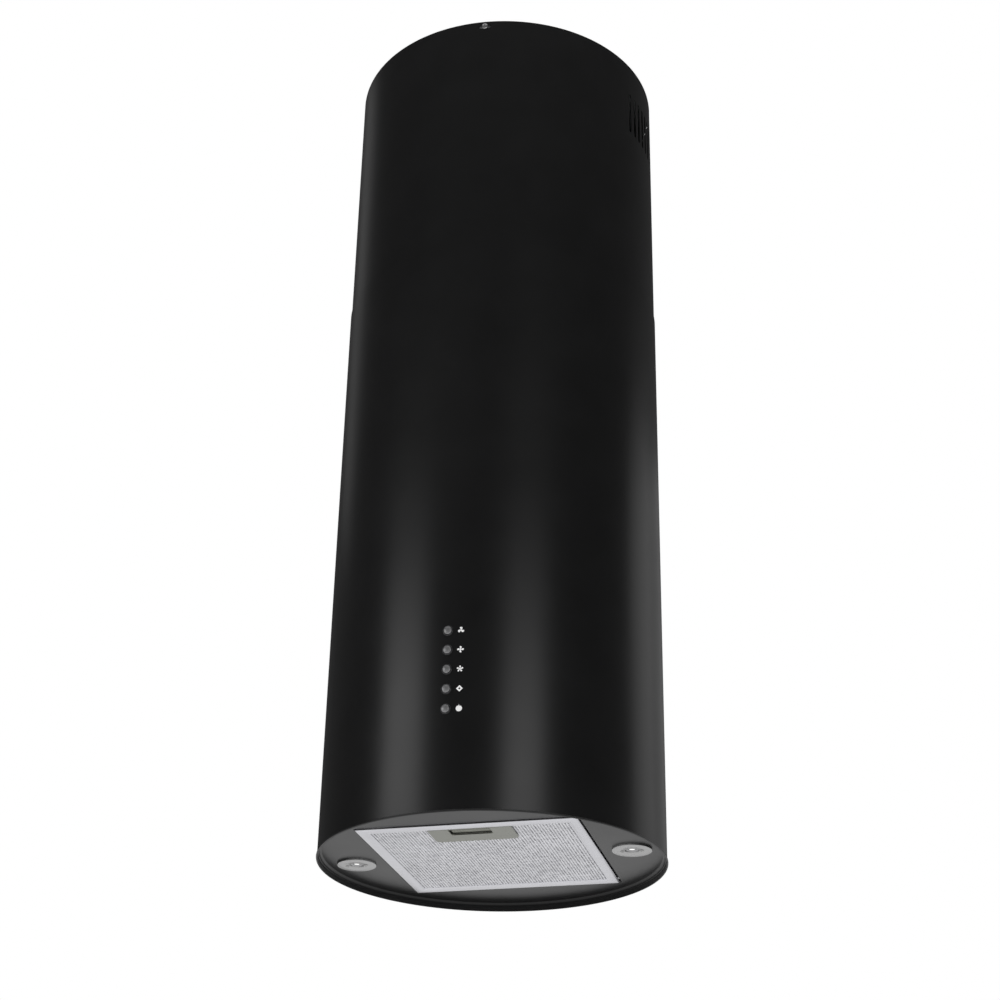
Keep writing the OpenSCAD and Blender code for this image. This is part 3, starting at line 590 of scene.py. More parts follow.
@cache
def paint(finish: Finish) -> bpy.types.Material:
    """Builds the material of a finish.

    Args:
        finish: The finish to build.

    Returns:
        The material.
    """
    p = Paint(finish.slot)
    look, relief = grain_pattern(p, finish)
    dark = (*[c * (1 - finish.mottle) for c in finish.colour], 1)
    light = (*[min(1.0, c * (1 + finish.mottle)) for c in finish.colour], 1)
    colour = p.node("ShaderNodeMix", {"Factor": p.ramp(look, 0.3, 0.7, 0, 1), 6: dark, 7: light},
                    data_type="RGBA")
    smear = p.noise(9, 5)
    rough = p.ramp(p.sum((look, 0.5), (smear, 0.5)), 0.3, 0.7,
                   max(0.03, finish.roughness - finish.spread), min(1.0, finish.roughness + finish.spread))
    bump = p.node("ShaderNodeBump", {"Height": relief, "Strength": 1.0, "Distance": finish.relief * MM})
    shader = p.shader
    p.tree.links.new(colour.outputs[2], shader.inputs["Base Color"])
    p.tree.links.new(rough, shader.inputs["Roughness"])
    p.tree.links.new(bump.outputs["Normal"], shader.inputs["Normal"])
    shader.inputs["Metallic"].default_value = finish.metal
    shader.inputs["Specular IOR Level"].default_value = finish.specular
    shader.inputs["Coat Weight"].default_value = finish.coat
    shader.inputs["Coat Roughness"].default_value = 0.08
    if finish.glow:
        shader.inputs["Emission Color"].default_value = (1, 1, 1, 1)
        shader.inputs["Emission Strength"].default_value = finish.glow
    return p.material


FINISHES: dict[str, Finish] = {f.slot: f for f in (
    Finish("galvanised_steel", (0.50, 0.51, 0.52), 0.4, Grain.SPANGLE, metal=1.0, mottle=0.07, spread=0.05),
    Finish("zinc_fasteners", (0.46, 0.46, 0.45), 0.32, Grain.TURNED, metal=1.0, mottle=0.15),
    Finish("black_enamel", (0.0065, 0.0065, 0.0068), 0.3, Grain.ENAMEL, mottle=0.15, spread=0.025,
           relief=0.004),
    Finish("black_panel", (0.006, 0.006, 0.0063), 0.3, Grain.ENAMEL, mottle=0.15, spread=0.03, relief=0.004,
           specular=0.32),
    Finish("plated_screws", (0.4, 0.4, 0.4), 0.3, Grain.TURNED, metal=1.0),
    Finish("casing_plastic", (0.34, 0.35, 0.36), 0.48, Grain.MOULDED),
    Finish("grey_plastic", (0.13, 0.13, 0.135), 0.45, Grain.MOULDED),
    Finish("motor_aluminium", (0.42, 0.42, 0.43), 0.45, Grain.CAST, metal=1.0, mottle=0.2, relief=0.05),
    Finish("white_plastic", (0.68, 0.68, 0.66), 0.42, Grain.MOULDED, mottle=0.05),
    Finish("black_plastic", (0.014, 0.014, 0.014), 0.42, Grain.MOULDED),
    Finish("dark_plastic", (0.035, 0.035, 0.037), 0.4, Grain.MOULDED),
    Finish("bright_steel", (0.6, 0.6, 0.6), 0.22, Grain.BRUSHED, metal=1.0, stretch=(1, 20, 20)),
    Finish("circuit_board", (0.02, 0.13, 0.05), 0.35, Grain.BOARD, mottle=0.3, coat=0.3),
    Finish("ivory_plastic", (0.66, 0.62, 0.5), 0.4, Grain.MOULDED, mottle=0.05),
    Finish("satin_chrome", (0.16, 0.16, 0.165), 0.36, Grain.TURNED, metal=1.0),
    Finish("button_metal", (0.34, 0.34, 0.345), 0.4, Grain.TURNED, metal=0.75, mottle=0.08),
    Finish("lens", (0.42, 0.42, 0.43), 0.16, Grain.PLAIN, metal=0.85, mottle=0.05, spread=0.03),
    Finish("satin_silver", (0.46, 0.46, 0.46), 0.34, Grain.TURNED, metal=1.0, mottle=0.06),
    Finish("heat_sink", (0.05, 0.05, 0.055), 0.4, Grain.CAST, metal=1.0),
    Finish("filter_aluminium", (0.72, 0.72, 0.755), 0.3, Grain.BRUSHED, metal=1.0, mottle=0.08,
           stretch=(1, 20, 20)),
    Finish("mesh_aluminium", (0.80, 0.80, 0.83), 0.42, Grain.PLAIN, metal=0.7, mottle=0.06),
    Finish("handle_grey", (0.225, 0.229, 0.2), 0.36, Grain.MOULDED, mottle=0.06, relief=0.004),
    # The same olive plastic as handle_grey, painted lighter to lift the shade inside the finger recess.
    Finish("latch_grey", (0.26, 0.264, 0.228), 0.33, Grain.MOULDED, mottle=0.06, relief=0.004),
)}
# Pale LED chip with a glow: the glow is a painted highlight for the white reflections in the cup, as the LED
# is not lit.
CHIP_PAINTED_HIGHLIGHT = Finish("lens", (0.9, 0.9, 0.86), 0.4, Grain.PLAIN, mottle=0.03, glow=0.6)
# White print of the signs; its slight glow is painted light that makes the print brighter than lit paint
# would be.
SIGN_PRINT_PAINTED_GLOW = Finish("black_enamel", (0.94, 0.94, 0.94), 0.5, Grain.PLAIN, mottle=0.03, glow=0.25)


def settle(piece: bpy.types.Object, body: str, finish: Finish, *nodes: str) -> bpy.types.Object:
    """Hands a finished piece to the frame.

    Args:
        piece: The piece, at the origin.
        body: The body that it rides on.
        finish: Its finish.
        nodes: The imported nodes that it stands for.

    Returns:
        The piece.
    """
    piece.data.materials.clear()
    piece.data.materials.append(finish.material())
    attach(piece, body)
    if nodes:
        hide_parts(*nodes)
    LOG.info("%-24s on %-14s %6d faces  %s", piece.name, body, len(piece.data.polygons), finish.slot)
    return piece


# ---------------------------------------------------------------- rules that repeat a piece


class Rule(NodeBench):
    """A Geometry Nodes tree that repeats a piece, with named inputs."""

    def __init__(self, name: str, inputs: dict[str, str]) -> None:
        """Starts a tree.

        Args:
            name: Name of the tree.
            inputs: Each input's name and its socket type, such as Float.
        """
        self.tree = bpy.data.node_groups.new(name, "GeometryNodeTree")
        face = self.tree.interface
        face.new_socket("Geometry", in_out="INPUT", socket_type="NodeSocketGeometry")
        self.sockets = {key: face.new_socket(key, in_out="INPUT", socket_type=f"NodeSocket{kind}").identifier
                        for key, kind in {**inputs, "Material": "Material"}.items()}
        face.new_socket("Geometry", in_out="OUTPUT", socket_type="NodeSocketGeometry")
        self.given = self.tree.nodes.new("NodeGroupInput").outputs

    def math(self, how: str, a: object, b: object = 0.0) -> bpy.types.NodeSocket:
        """One sum on two numbers."""
        return self.node("ShaderNodeMath", {0: a, 1: b}, operation=how).outputs[0]

    def close(self, instances: bpy.types.NodeSocket, shift: bpy.types.NodeSocket | None = None) -> "Rule":
        """Ends the tree: copies made real, shifted, and given their material."""
        real = self.node("GeometryNodeRealizeInstances", {"Geometry": instances}).outputs[0]
        if shift is not None:
            real = self.node("GeometryNodeSetPosition", {"Geometry": real, "Offset": shift}).outputs[0]
        done = self.node("GeometryNodeSetMaterial", {"Geometry": real, "Material": self.given["Material"]})
        out = self.tree.nodes.new("NodeGroupOutput")
        self.tree.links.new(done.outputs[0], out.inputs[0])
        return self

    def grow(self, seed: bpy.types.Object, name: str, finish: Finish, **values: object) -> bpy.types.Object:
        """Runs the rule on a seed piece and keeps the result as a plain mesh.

        Args:
            seed: The object that holds the tree's input geometry. It is used up.
            name: Name of the new piece.
            finish: Finish that the copies get.
            values: The tree's inputs by name, with _ for a space.

        Returns:
            The new piece.
        """
        modifier = seed.modifiers.new("rule", "NODES")
        modifier.node_group = self.tree
        modifier[self.sockets["Material"]] = finish.material()
        for key, value in values.items():
            modifier[self.sockets[key.replace("_", " ")]] = value
        bake_modifiers(seed)
        mesh = seed.data
        bpy.data.objects.remove(seed)
        mesh.name = name
        return enlist(name, mesh)


@cache
def polar_rule() -> Rule:
    """Copies of a seed turned evenly round an axis through Centre."""
    rule = Rule("polar copies", {"Count": "Int", "Axis": "Vector", "Centre": "Vector"})
    count = rule.given["Count"]
    index = rule.node("GeometryNodeInputIndex").outputs[0]
    angle = rule.math("DIVIDE", rule.math("MULTIPLY", index, 2 * math.pi), count)
    around = {"Axis": rule.given["Axis"], "Angle": angle}
    turn = rule.node("FunctionNodeAxisAngleToRotation", around).outputs[0]
    line = rule.node("GeometryNodeMeshLine", {"Count": count, "Start Location": rule.given["Centre"],
                                              "Offset": (0, 0, 0)}).outputs[0]
    copies = rule.node("GeometryNodeInstanceOnPoints", {"Points": line, "Instance": rule.given["Geometry"],
                                                        "Rotation": turn})
    return rule.close(copies.outputs[0])


@cache
def placed_rule() -> Rule:
    """Copies of Piece on the points given, each aimed and rolled by the points' own attributes."""
    rule = Rule("placed copies", {"Piece": "Object"})
    aim = rule.node("GeometryNodeInputNamedAttribute", {"Name": "aim"}, data_type="FLOAT_VECTOR").outputs[0]
    roll = rule.node("GeometryNodeInputNamedAttribute", {"Name": "roll"}, data_type="FLOAT").outputs[0]
    facing = rule.node("FunctionNodeAlignRotationToVector", {"Vector": aim}, axis="Z").outputs[0]
    spin = rule.node("FunctionNodeAxisAngleToRotation", {"Axis": (0, 0, 1), "Angle": roll}).outputs[0]
    turn = rule.node("FunctionNodeRotateRotation", {"Rotation": facing, "Rotate By": spin},
                     rotation_space="LOCAL").outputs[0]
    piece = rule.node("GeometryNodeObjectInfo", {"Object": rule.given["Piece"]}).outputs["Geometry"]
    copies = rule.node("GeometryNodeInstanceOnPoints", {"Points": rule.given["Geometry"], "Instance": piece,
                                                        "Rotation": turn})
    return rule.close(copies.outputs[0])


@cache
def stagger_rule() -> Rule:
    """Copies of a seed on a staggered grid, left out of a rectangle, then waved along X."""
    rule = Rule("staggered copies", {
        "Pitch X": "Float", "Pitch Y": "Float", "Columns": "Int", "Rows": "Int", "Centre": "Vector",
        "Gap Low": "Vector", "Gap High": "Vector", "Jitter": "Float", "Seed": "Int",
        "Wave": "Float", "Wave Length": "Float"})
    given = rule.given
    grids = []
    for less in (0, 1):
        spans = []
        for axis, count in (("X", "Columns"), ("Y", "Rows")):
            number = rule.math("SUBTRACT", given[count], less)
            size = rule.math("MULTIPLY", rule.math("SUBTRACT", number, 1), given[f"Pitch {axis}"])
            spans += [(f"Vertices {axis}", number), (f"Size {axis}", size)]
        grids.append(rule.node("GeometryNodeMeshGrid", dict(spans)).outputs[0])
    join = rule.node("GeometryNodeJoinGeometry")
    for grid in grids:
        rule.tree.links.new(grid, join.inputs[0])
    moved = rule.node("GeometryNodeTransform", {"Geometry": join.outputs[0], "Translation": given["Centre"]})
    place = rule.node("GeometryNodeInputPosition").outputs[0]
    mine = rule.node("ShaderNodeSeparateXYZ", {0: place}).outputs
    low = rule.node("ShaderNodeSeparateXYZ", {0: given["Gap Low"]}).outputs
    high = rule.node("ShaderNodeSeparateXYZ", {0: given["Gap High"]}).outputs
    within = [rule.math("GREATER_THAN", mine[i], low[i]) for i in (0, 1)]
    within += [rule.math("LESS_THAN", mine[i], high[i]) for i in (0, 1)]
    both = rule.math("MULTIPLY", rule.math("MULTIPLY", within[0], within[1]),
                     rule.math("MULTIPLY", within[2], within[3]))
    kept = rule.node("GeometryNodeDeleteGeometry", {"Geometry": moved.outputs[0], "Selection": both},
                     domain="POINT").outputs[0]
    slight = rule.math("MULTIPLY", given["Jitter"], -1)
    random = rule.node("FunctionNodeRandomValue", {2: slight, 3: given["Jitter"], "Seed": given["Seed"]},
                       data_type="FLOAT").outputs[1]
    turn = rule.node("ShaderNodeCombineXYZ", {"X": random, "Y": 0.0, "Z": 0.0}).outputs[0]
    copies = rule.node("GeometryNodeInstanceOnPoints", {"Points": kept, "Instance": given["Geometry"],
                                                        "Rotation": turn}).outputs[0]
    phase = rule.math("DIVIDE", rule.math("MULTIPLY", mine[0], 2 * math.pi), given["Wave Length"])
    lift = rule.math("MULTIPLY", rule.math("SINE", phase), given["Wave"])
    return rule.close(copies, rule.node("ShaderNodeCombineXYZ", {"Z": lift}).outputs[0])


def copies_at(piece: bpy.types.Object, places: Sequence[tuple[Vector, Vector, float]], name: str,
              finish: Finish) -> bpy.types.Object:
    """Puts copies of a piece at a list of places.

    Args:
        piece: The piece, drawn about the origin with its head along Z. It is used up.
        places: For each copy its place in millimetres, the way its head faces, and its roll in degrees.
        name: Name of the new piece.
        finish: Finish of the copies.

    Returns:
        One piece that holds all the copies.
    """
    mesh = bpy.data.meshes.new(name)
    mesh.from_pydata([p * MM for p, _, _ in places], [], [])
    mesh.attributes.new("aim", "FLOAT_VECTOR", "POINT")
    mesh.attributes.new("roll", "FLOAT", "POINT")
    for i, (_, direction, degrees) in enumerate(places):
        mesh.attributes["aim"].data[i].vector = direction
        mesh.attributes["roll"].data[i].value = math.radians(degrees)
    grown = placed_rule().grow(enlist(name, mesh), name, finish, Piece=piece)
    discard(piece)
    return grown


# ---------------------------------------------------------------- fasteners


@dataclass
class Fastener:
    """A screw or bolt with its head above the local origin and its shank below."""

    head_r: float
    head_h: float
    shank_r: float
    shank_l: float
    hexagonal: bool = False
    nut_at: float | None = None
    nut_h: float = 3.0
    nut_r: float = 4.0
    pitch: float = 0.8
    steps: int = 28

    def thread(self) -> Loop:
        """Profile of the threaded shank, from its tip up to the head."""
        depth = self.shank_r * 0.13
        turns = max(2, round(self.shank_l / self.pitch))
        profile: Loop = [(0, -self.shank_l), (self.shank_r * 0.7, -self.shank_l)]
        for i in range(turns):
            z = -self.shank_l + (i + 0.5) * self.shank_l / turns
            profile += [(self.shank_r, z), (self.shank_r - depth, z + self.shank_l / turns / 2)]
        return profile

    def hexagon(self, radius: float, low: float, high: float, draft: Draft) -> None:
        """Draws a hexagonal head or nut with its corners turned off."""
        side = radius * math.cos(math.pi / 6)
        rows = []
        for z, cut in ((low, 0.93), (low + 0.35, 1.0), (high - 0.35, 1.0), (high, 0.93)):
            r = radius * cut
            rows.append([draft.corner(Vector((r * math.cos(t), r * math.sin(t), z)), side)
                         for t in (math.pi / 3 * i for i in range(6))])
        for a, b in zip(rows, rows[1:]):
            draft.bridge(a, b)
        draft.face(rows[0][::-1])
        draft.face(rows[-1])

    def head(self) -> Loop:
        """Profile of a domed pan head, from its seat to its crown."""
        r, h = self.head_r, self.head_h
        return [(r * 0.96, 0), (r, h * 0.12), (r, h * 0.4), (r * 0.93, h * 0.66), (r * 0.76, h * 0.86),
                (r * 0.5, h * 0.97), (r * 0.2, h), (0, h)]

    def draw(self, name: str) -> bpy.types.Object:
        """Builds the fastener about the origin.

        Args:
            name: Name of the piece.

        Returns:
            The fastener, with a cross recess in a round head.
        """
        draft = Draft()
        if self.hexagonal:
            self.hexagon(self.head_r, 0, self.head_h, draft)
            draft.lathe([*self.thread(), (self.shank_r * 0.9, 0.2), (0, 0.2)], steps=self.steps, ring=False)
        else:
            draft.lathe([*self.thread(), (self.shank_r * 0.9, 0), *self.head()], steps=self.steps, ring=False)
        if self.nut_at is not None:
            self.hexagon(self.nut_r, -self.nut_at - self.nut_h, -self.nut_at, draft)
        piece = draft.build(name, 28)
        if not self.hexagonal:
            half, reach = self.head_r * 0.13, self.head_r * 0.62
            arm = [(reach, -half), (reach, half), (half, half)]
            quarters = (1, 0), (0, 1), (-1, 0), (0, -1)
            cross = [(x * c - y * s, x * s + y * c) for c, s in quarters for x, y in arm]
            cut_away(piece, Draft().prism(cross, self.head_h * 0.35, self.head_h + 1).build("recess tool"))
        return piece


# ---------------------------------------------------------------- rolled shells


@dataclass
class RolledTube:
    """A sheet rolled into a tube about the frame's Z axis, with its seam at the back."""

    radius: float
    wall: float
    low: float
    high: float
    column: float = 2.0
    seam: float = 90.0

    def along(self, bearing: float) -> float:
        """Turns a bearing in degrees into a length along the flat sheet."""
        return math.radians((bearing - self.seam) % 360) * self.radius

    def place(self, u: float, v: float, r: float) -> Vector:
        """Turns a point of the flat sheet and a radius into a place."""
        t = math.radians(self.seam) + u / self.radius
        return Vector((r * math.cos(t), r * math.sin(t), v))

    def slot(self, bearing: float, z: float, half_u: float, half_z: float) -> Loop:
        """A slot with round ends, as a hole on the flat sheet."""
        u, r = self.along(bearing), min(half_u, half_z)
        return rounded_box((u - half_u, z - half_z), (u + half_u, z + half_z), [r * 0.999] * 4, 8)

    def bore(self, x: float, z: float, r: float, steps: int = 40) -> Loop:
        """A hole drilled through the front wall along Y, as a hole on the flat sheet."""
        hole: Loop = []
        for dx, dz in circle((0, 0), r, steps):
            bearing = -90 + math.degrees(math.asin((x + dx) / self.radius))
            hole.append((self.along(bearing), z + dz))
        return hole

    def draw(self, holes: Sequence[Loop], draft: Draft | None = None) -> Draft:
        """Draws the tube with its holes."""
        length = 2 * math.pi * self.radius
        count = round(360 / self.column)
        guides = [((length * i / count, self.low), (length * i / count, self.high)) for i in range(1, count)]
        outline = [(0, self.low), (length, self.low), (length, self.high), (0, self.high)]
        return (draft or Draft()).sheet(outline, holes, (self.radius - self.wall, self.radius), self.place,
                                        guides, (0, length))


@dataclass
class Chimney:
    """The upper tube with its vent slots and its two screws."""

    wall: float = 0.6
    vent_count: int = 12
    vent_w: float = 5.0
    vent_l: float = 54.5
    vent_top: float = 41.5
    vent_pitch: float = 11.2
    screw_turn: float = 5.2
    screw_drop: float = 7.0
    screw_slot: Point = (7.0, 2.25)
    span: Span = field(default_factory=lambda: Span.of("chimney_tube"))

    def vents(self, tube: RolledTube) -> list[Loop]:
        """The vent slots on the flat sheet."""
        z = self.span.high.z - self.vent_top - self.vent_l / 2
        step = math.degrees(self.vent_pitch / self.span.high.x)
        turns = [(i - (self.vent_count - 1) / 2) * step for i in range(self.vent_count)]
        return [tube.slot(side + t, z, self.vent_w / 2, self.vent_l / 2) for side in (0, 180) for t in turns]

    def bearings(self) -> list[float]:
        """Bearings of the two screws."""
        return [self.screw_turn - 90, self.screw_turn + 90]

    def make(self) -> None:
        """Makes the tube and its screws."""
        tube = RolledTube(self.span.high.x, self.wall, self.span.low.z, self.span.high.z)
        z = self.span.high.z - self.screw_drop
        holes = self.vents(tube) + [tube.slot(b, z, *self.screw_slot) for b in self.bearings()]
        settle(tube.draw(holes).build("chimney_sheet", rolled=True), "chimney", FINISHES["black_enamel"],
               "chimney_tube")
        screws = Span.of("chimney_screws")
        head_h = 1.8
        seat = tube.radius + 0.1
        inner = tube.radius - self.wall - 7
        screw = Fastener(3.6, head_h, 2.0, seat - inner, nut_at=seat - (tube.radius - self.wall - 2.5),
                         nut_r=4.0)
        places = []
        for bearing, roll in zip(self.bearings(), (20, 65)):
            out = Vector((math.cos(math.radians(bearing)), math.sin(math.radians(bearing)), 0))
            places.append((out * seat + Vector((0, 0, screws.middle.z)), out, roll))
        settle(copies_at(screw.draw("seed"), places, "chimney_fixings", FINISHES["plated_screws"]), "chimney",
               FINISHES["plated_screws"], "chimney_screws")


@dataclass
class HoodShell:
    """The lower tube with its rolled hem and the holes for the buttons."""

    wall: float = 0.6
    hem_r: float = 1.0
    hole_r: float = 4.7
    span: Span = field(default_factory=lambda: Span.of("lower_tube"))

    def make(self, buttons: Sequence[Vector]) -> None:
        """Makes the tube.

        Args:
            buttons: Middle of each button.
        """
        radius = self.span.high.x - self.hem_r
        tube = RolledTube(radius, self.wall, self.span.low.z, self.span.high.z)
        draft = tube.draw([tube.bore(b.x, b.z, self.hole_r) for b in buttons])
        hem = arc((radius, self.span.low.z + self.hem_r), self.hem_r, -90, 90, 10)
        middle = radius - self.wall / 2
        draft.lathe([*hem, (middle, hem[-1][1]), (middle, hem[0][1])], steps=180)
        settle(draft.build("hood_sheet", rolled=True), "hood", FINISHES["black_enamel"], "lower_tube")


@dataclass
class BasePanel:
    """The round panel with its turned-down lip, filter opening and holes for the lights."""

    face_h: float = 9.0
    sheet_t: float = 0.8
    fillet: float = 3.0
    lip_h: float = 5.3
    bend: float = 1.0
    light_hole_r: float = 17.0
    open_half: float = 110.3
    open_front: float = -110.8
    open_rear: float = 113.5
    wall_top_h: float = 21.8
    keeper: tuple[float, float, float, float] = (-10.4, 12.4, 10.6, 13.0)
    span: Span = field(default_factory=lambda: Span.of("base_panel"))

    def rim(self, draft: Draft) -> None:
        """Draws the round rim, which turns down to the lip."""
        radius, t, f = self.span.high.x, self.sheet_t, self.fillet
        centre = (radius - t - f, up(self.face_h) - f)
        inner = arc(centre, f, 90, 0, 10)
        outer = arc(centre, f + t, 0, 90, 10)
        draft.lathe([*inner, (radius - t, up(self.lip_h) + 0.2), (radius - t / 2, up(self.lip_h)),
                     (radius, up(self.lip_h) + 0.2), *outer], steps=180)

    def flange(self) -> bpy.types.Object:
        """Builds the wall that stands up round the filter opening, with the slot for the latch."""
        t, b = self.sheet_t, self.bend
        low, top = up(self.face_h), up(self.wall_top_h)
        curve = [(-x, y) for x, y in arc((-(b + t), low + b + t), b + t, -90, 0, 6)]
        inner = [(-x, y) for x, y in arc((-(b + t), low + b + t), b, 0, -90, 6)]
        profile = [(-x if x > 0 else x, y) for x, y in [*curve, (0, top), (t, top), *inner]]
        draft = Draft().mitred(profile, (-self.open_half, self.open_front), (self.open_half, self.open_rear))
        piece = draft.build("flange", 25)
        x0, x1, h0, h1 = self.keeper
        tool = Draft().block((x0, self.open_front - 3, up(h0)), (x1, self.open_front + 2, up(h1)))
        cut_away(piece, tool.build("keeper tool"))
        return piece

    def make(self, light_x: float) -> None:
        """Makes the panel.

        Args:
            light_x: Distance of the lights from the middle.
        """
        draft = Draft().absorb(self.flange())
        edge = self.span.high.x - self.sheet_t - self.fillet
        back = self.bend + self.sheet_t
        opening = rounded_box((-self.open_half - back, self.open_front - back),
                              (self.open_half + back, self.open_rear + back), [0] * 4)
        lights = [circle((s * light_x, 0), self.light_hole_r, 64) for s in (-1, 1)]
        low = up(self.face_h)
        draft.sheet(circle((0, 0), edge, 180), [opening, *lights], (low, low + self.sheet_t),
                    lambda u, v, d: Vector((u, v, d)))
        self.rim(draft)
        settle(draft.build("base_pan", 25), "hood", FINISHES["black_panel"], "base_panel")


# ---------------------------------------------------------------- lights


@dataclass
class SpotLight:
    """One recessed light: bezel with a conical cup, lens, and finned body."""

    side: str
    cup_r: float = 7.3
    cup_depth: float = 2.2
    neck_r: float = 6.75
    rim_edge: float = 0.5
    chip_r: float = 3.0

    def place(self) -> Matrix:
        """Where the light's axis stands."""
        middle = Span.of(f"led_bezel_{self.side}").middle
        return Matrix.Translation((middle.x, middle.y, 0))

    def bezel(self) -> None:
        """Makes the bezel with its bright rim and its cup."""
        span = Span.of(f"led_bezel_{self.side}")
        radius, low = span.size.x / 2, span.low.z
        back, top = low + 2.0, span.high.z
        hole_r = radius - 3.3
        e = self.rim_edge
        cup = [(self.neck_r, low + self.cup_depth), (self.cup_r - 0.2, low + 0.5),
               (self.cup_r, low + 0.12), (self.cup_r + 0.15, low)]
        profile = [*cup, (radius - 1.4, low), (radius - 1.1, low + 0.1),
                   (radius - 0.9, low), *arc((radius - e, low + e), e, -90, 0, 5)]
        profile += [(radius, back), (hole_r, back), (hole_r, top), (self.neck_r, top)]
        draft = Draft().lathe(profile, self.place(), steps=96)
        settle(draft.build(f"light_bezel_{self.side}", 40), "hood", FINISHES["satin_silver"],
               f"led_bezel_{self.side}")

    def lens(self) -> None:
        """Makes the dished optic at the bottom of the cup, with a seat for the chip at its middle."""
        span = Span.of(f"led_lens_{self.side}")
        r, low, top = span.size.x / 2, span.low.z, span.high.z
        bowl = [(r * math.sin(math.radians(a)), low + 0.1 + (top - low - 0.25) * math.cos(math.radians(a)))
                for a in range(20, 91, 10)]
        seat = bowl[0][1] - 0.12
        profile = [(0, seat), (bowl[0][0] - 0.2, seat), *bowl, (r, top), (0, top)]
        draft = Draft().lathe(profile, self.place(), steps=12, ring=False)
        settle(draft.build(f"light_lens_{self.side}", 12), "hood", FINISHES["lens"], f"led_lens_{self.side}")

    def chip(self) -> None:
        """Makes the pale round chip in the middle of the dish; its glow is a painted highlight standing in
        for the lights' reflections in the cup.
        """
        span = Span.of(f"led_lens_{self.side}")
        low = span.low.z
        profile = [(0, low + 0.5), (self.chip_r - 0.4, low + 0.6), (self.chip_r, low + 1.0),
                   (self.chip_r, span.high.z - 0.3), (0, span.high.z - 0.3)]
        draft = Draft().lathe(profile, self.place(), 40, ring=False)
        settle(draft.build(f"light_chip_{self.side}", 40), "hood", CHIP_PAINTED_HIGHLIGHT)

    def body(self) -> None:
        """Makes the finned heat sink."""
        span = Span.of(f"led_body_{self.side}")
        r, low, top = span.size.x / 2, span.low.z, span.high.z
        core, pitch, fin = r - 4, 4.0, 1.3
        profile: Loop = [(0, low), (r - 0.4, low), (r, low + 0.4), (r, low + 4)]
        z = low + 4
        while z + pitch < top:
            groove = z + pitch - fin
            profile += [(r - 0.2, z), (core, z + 0.3), (core, groove), (r - 0.2, groove + 0.2),
                        (r, groove + 0.4)]
            z += pitch
        profile += [(r, top - 0.4), (r - 0.4, top), (5, top), (4.6, top - 1.5), (0, top - 1.5)]
        settle(Draft().lathe(profile, self.place(), steps=64, ring=False).build(f"light_body_{self.side}"),
               "hood", FINISHES["heat_sink"], f"led_body_{self.side}")

    def make(self) -> None:
        """Makes the light's four pieces."""
        self.bezel()
        self.lens()
        self.chip()
        self.body()


def light_screws(screw_x: float = 9.6) -> None:
    """Makes the two small screws beside each lens."""
    low = Span.of("led_bezel_left").low.z
    places = []
    for side in ("left", "right"):
        middle = Span.of(f"led_bezel_{side}").middle
        for s, roll in ((-1, 25), (1, 70)):
            places.append((Vector((middle.x + s * screw_x, middle.y, low)), Vector((0, 0, -1)), roll))
    screw = Fastener(2.3, 0.6, 1.2, 5.0, pitch=0.5)
    settle(copies_at(screw.draw("seed"), places, "light_screws", FINISHES["plated_screws"]), "hood",
           FINISHES["plated_screws"], "led_screws")


# ---------------------------------------------------------------- buttons


class Symbol(Enum):
    """The printed sign beside a button."""

    POWER = "power"
    LIGHT = "light"
    HIGH = "fan_high"
    MEDIUM = "fan_medium"
    LOW = "fan_low"


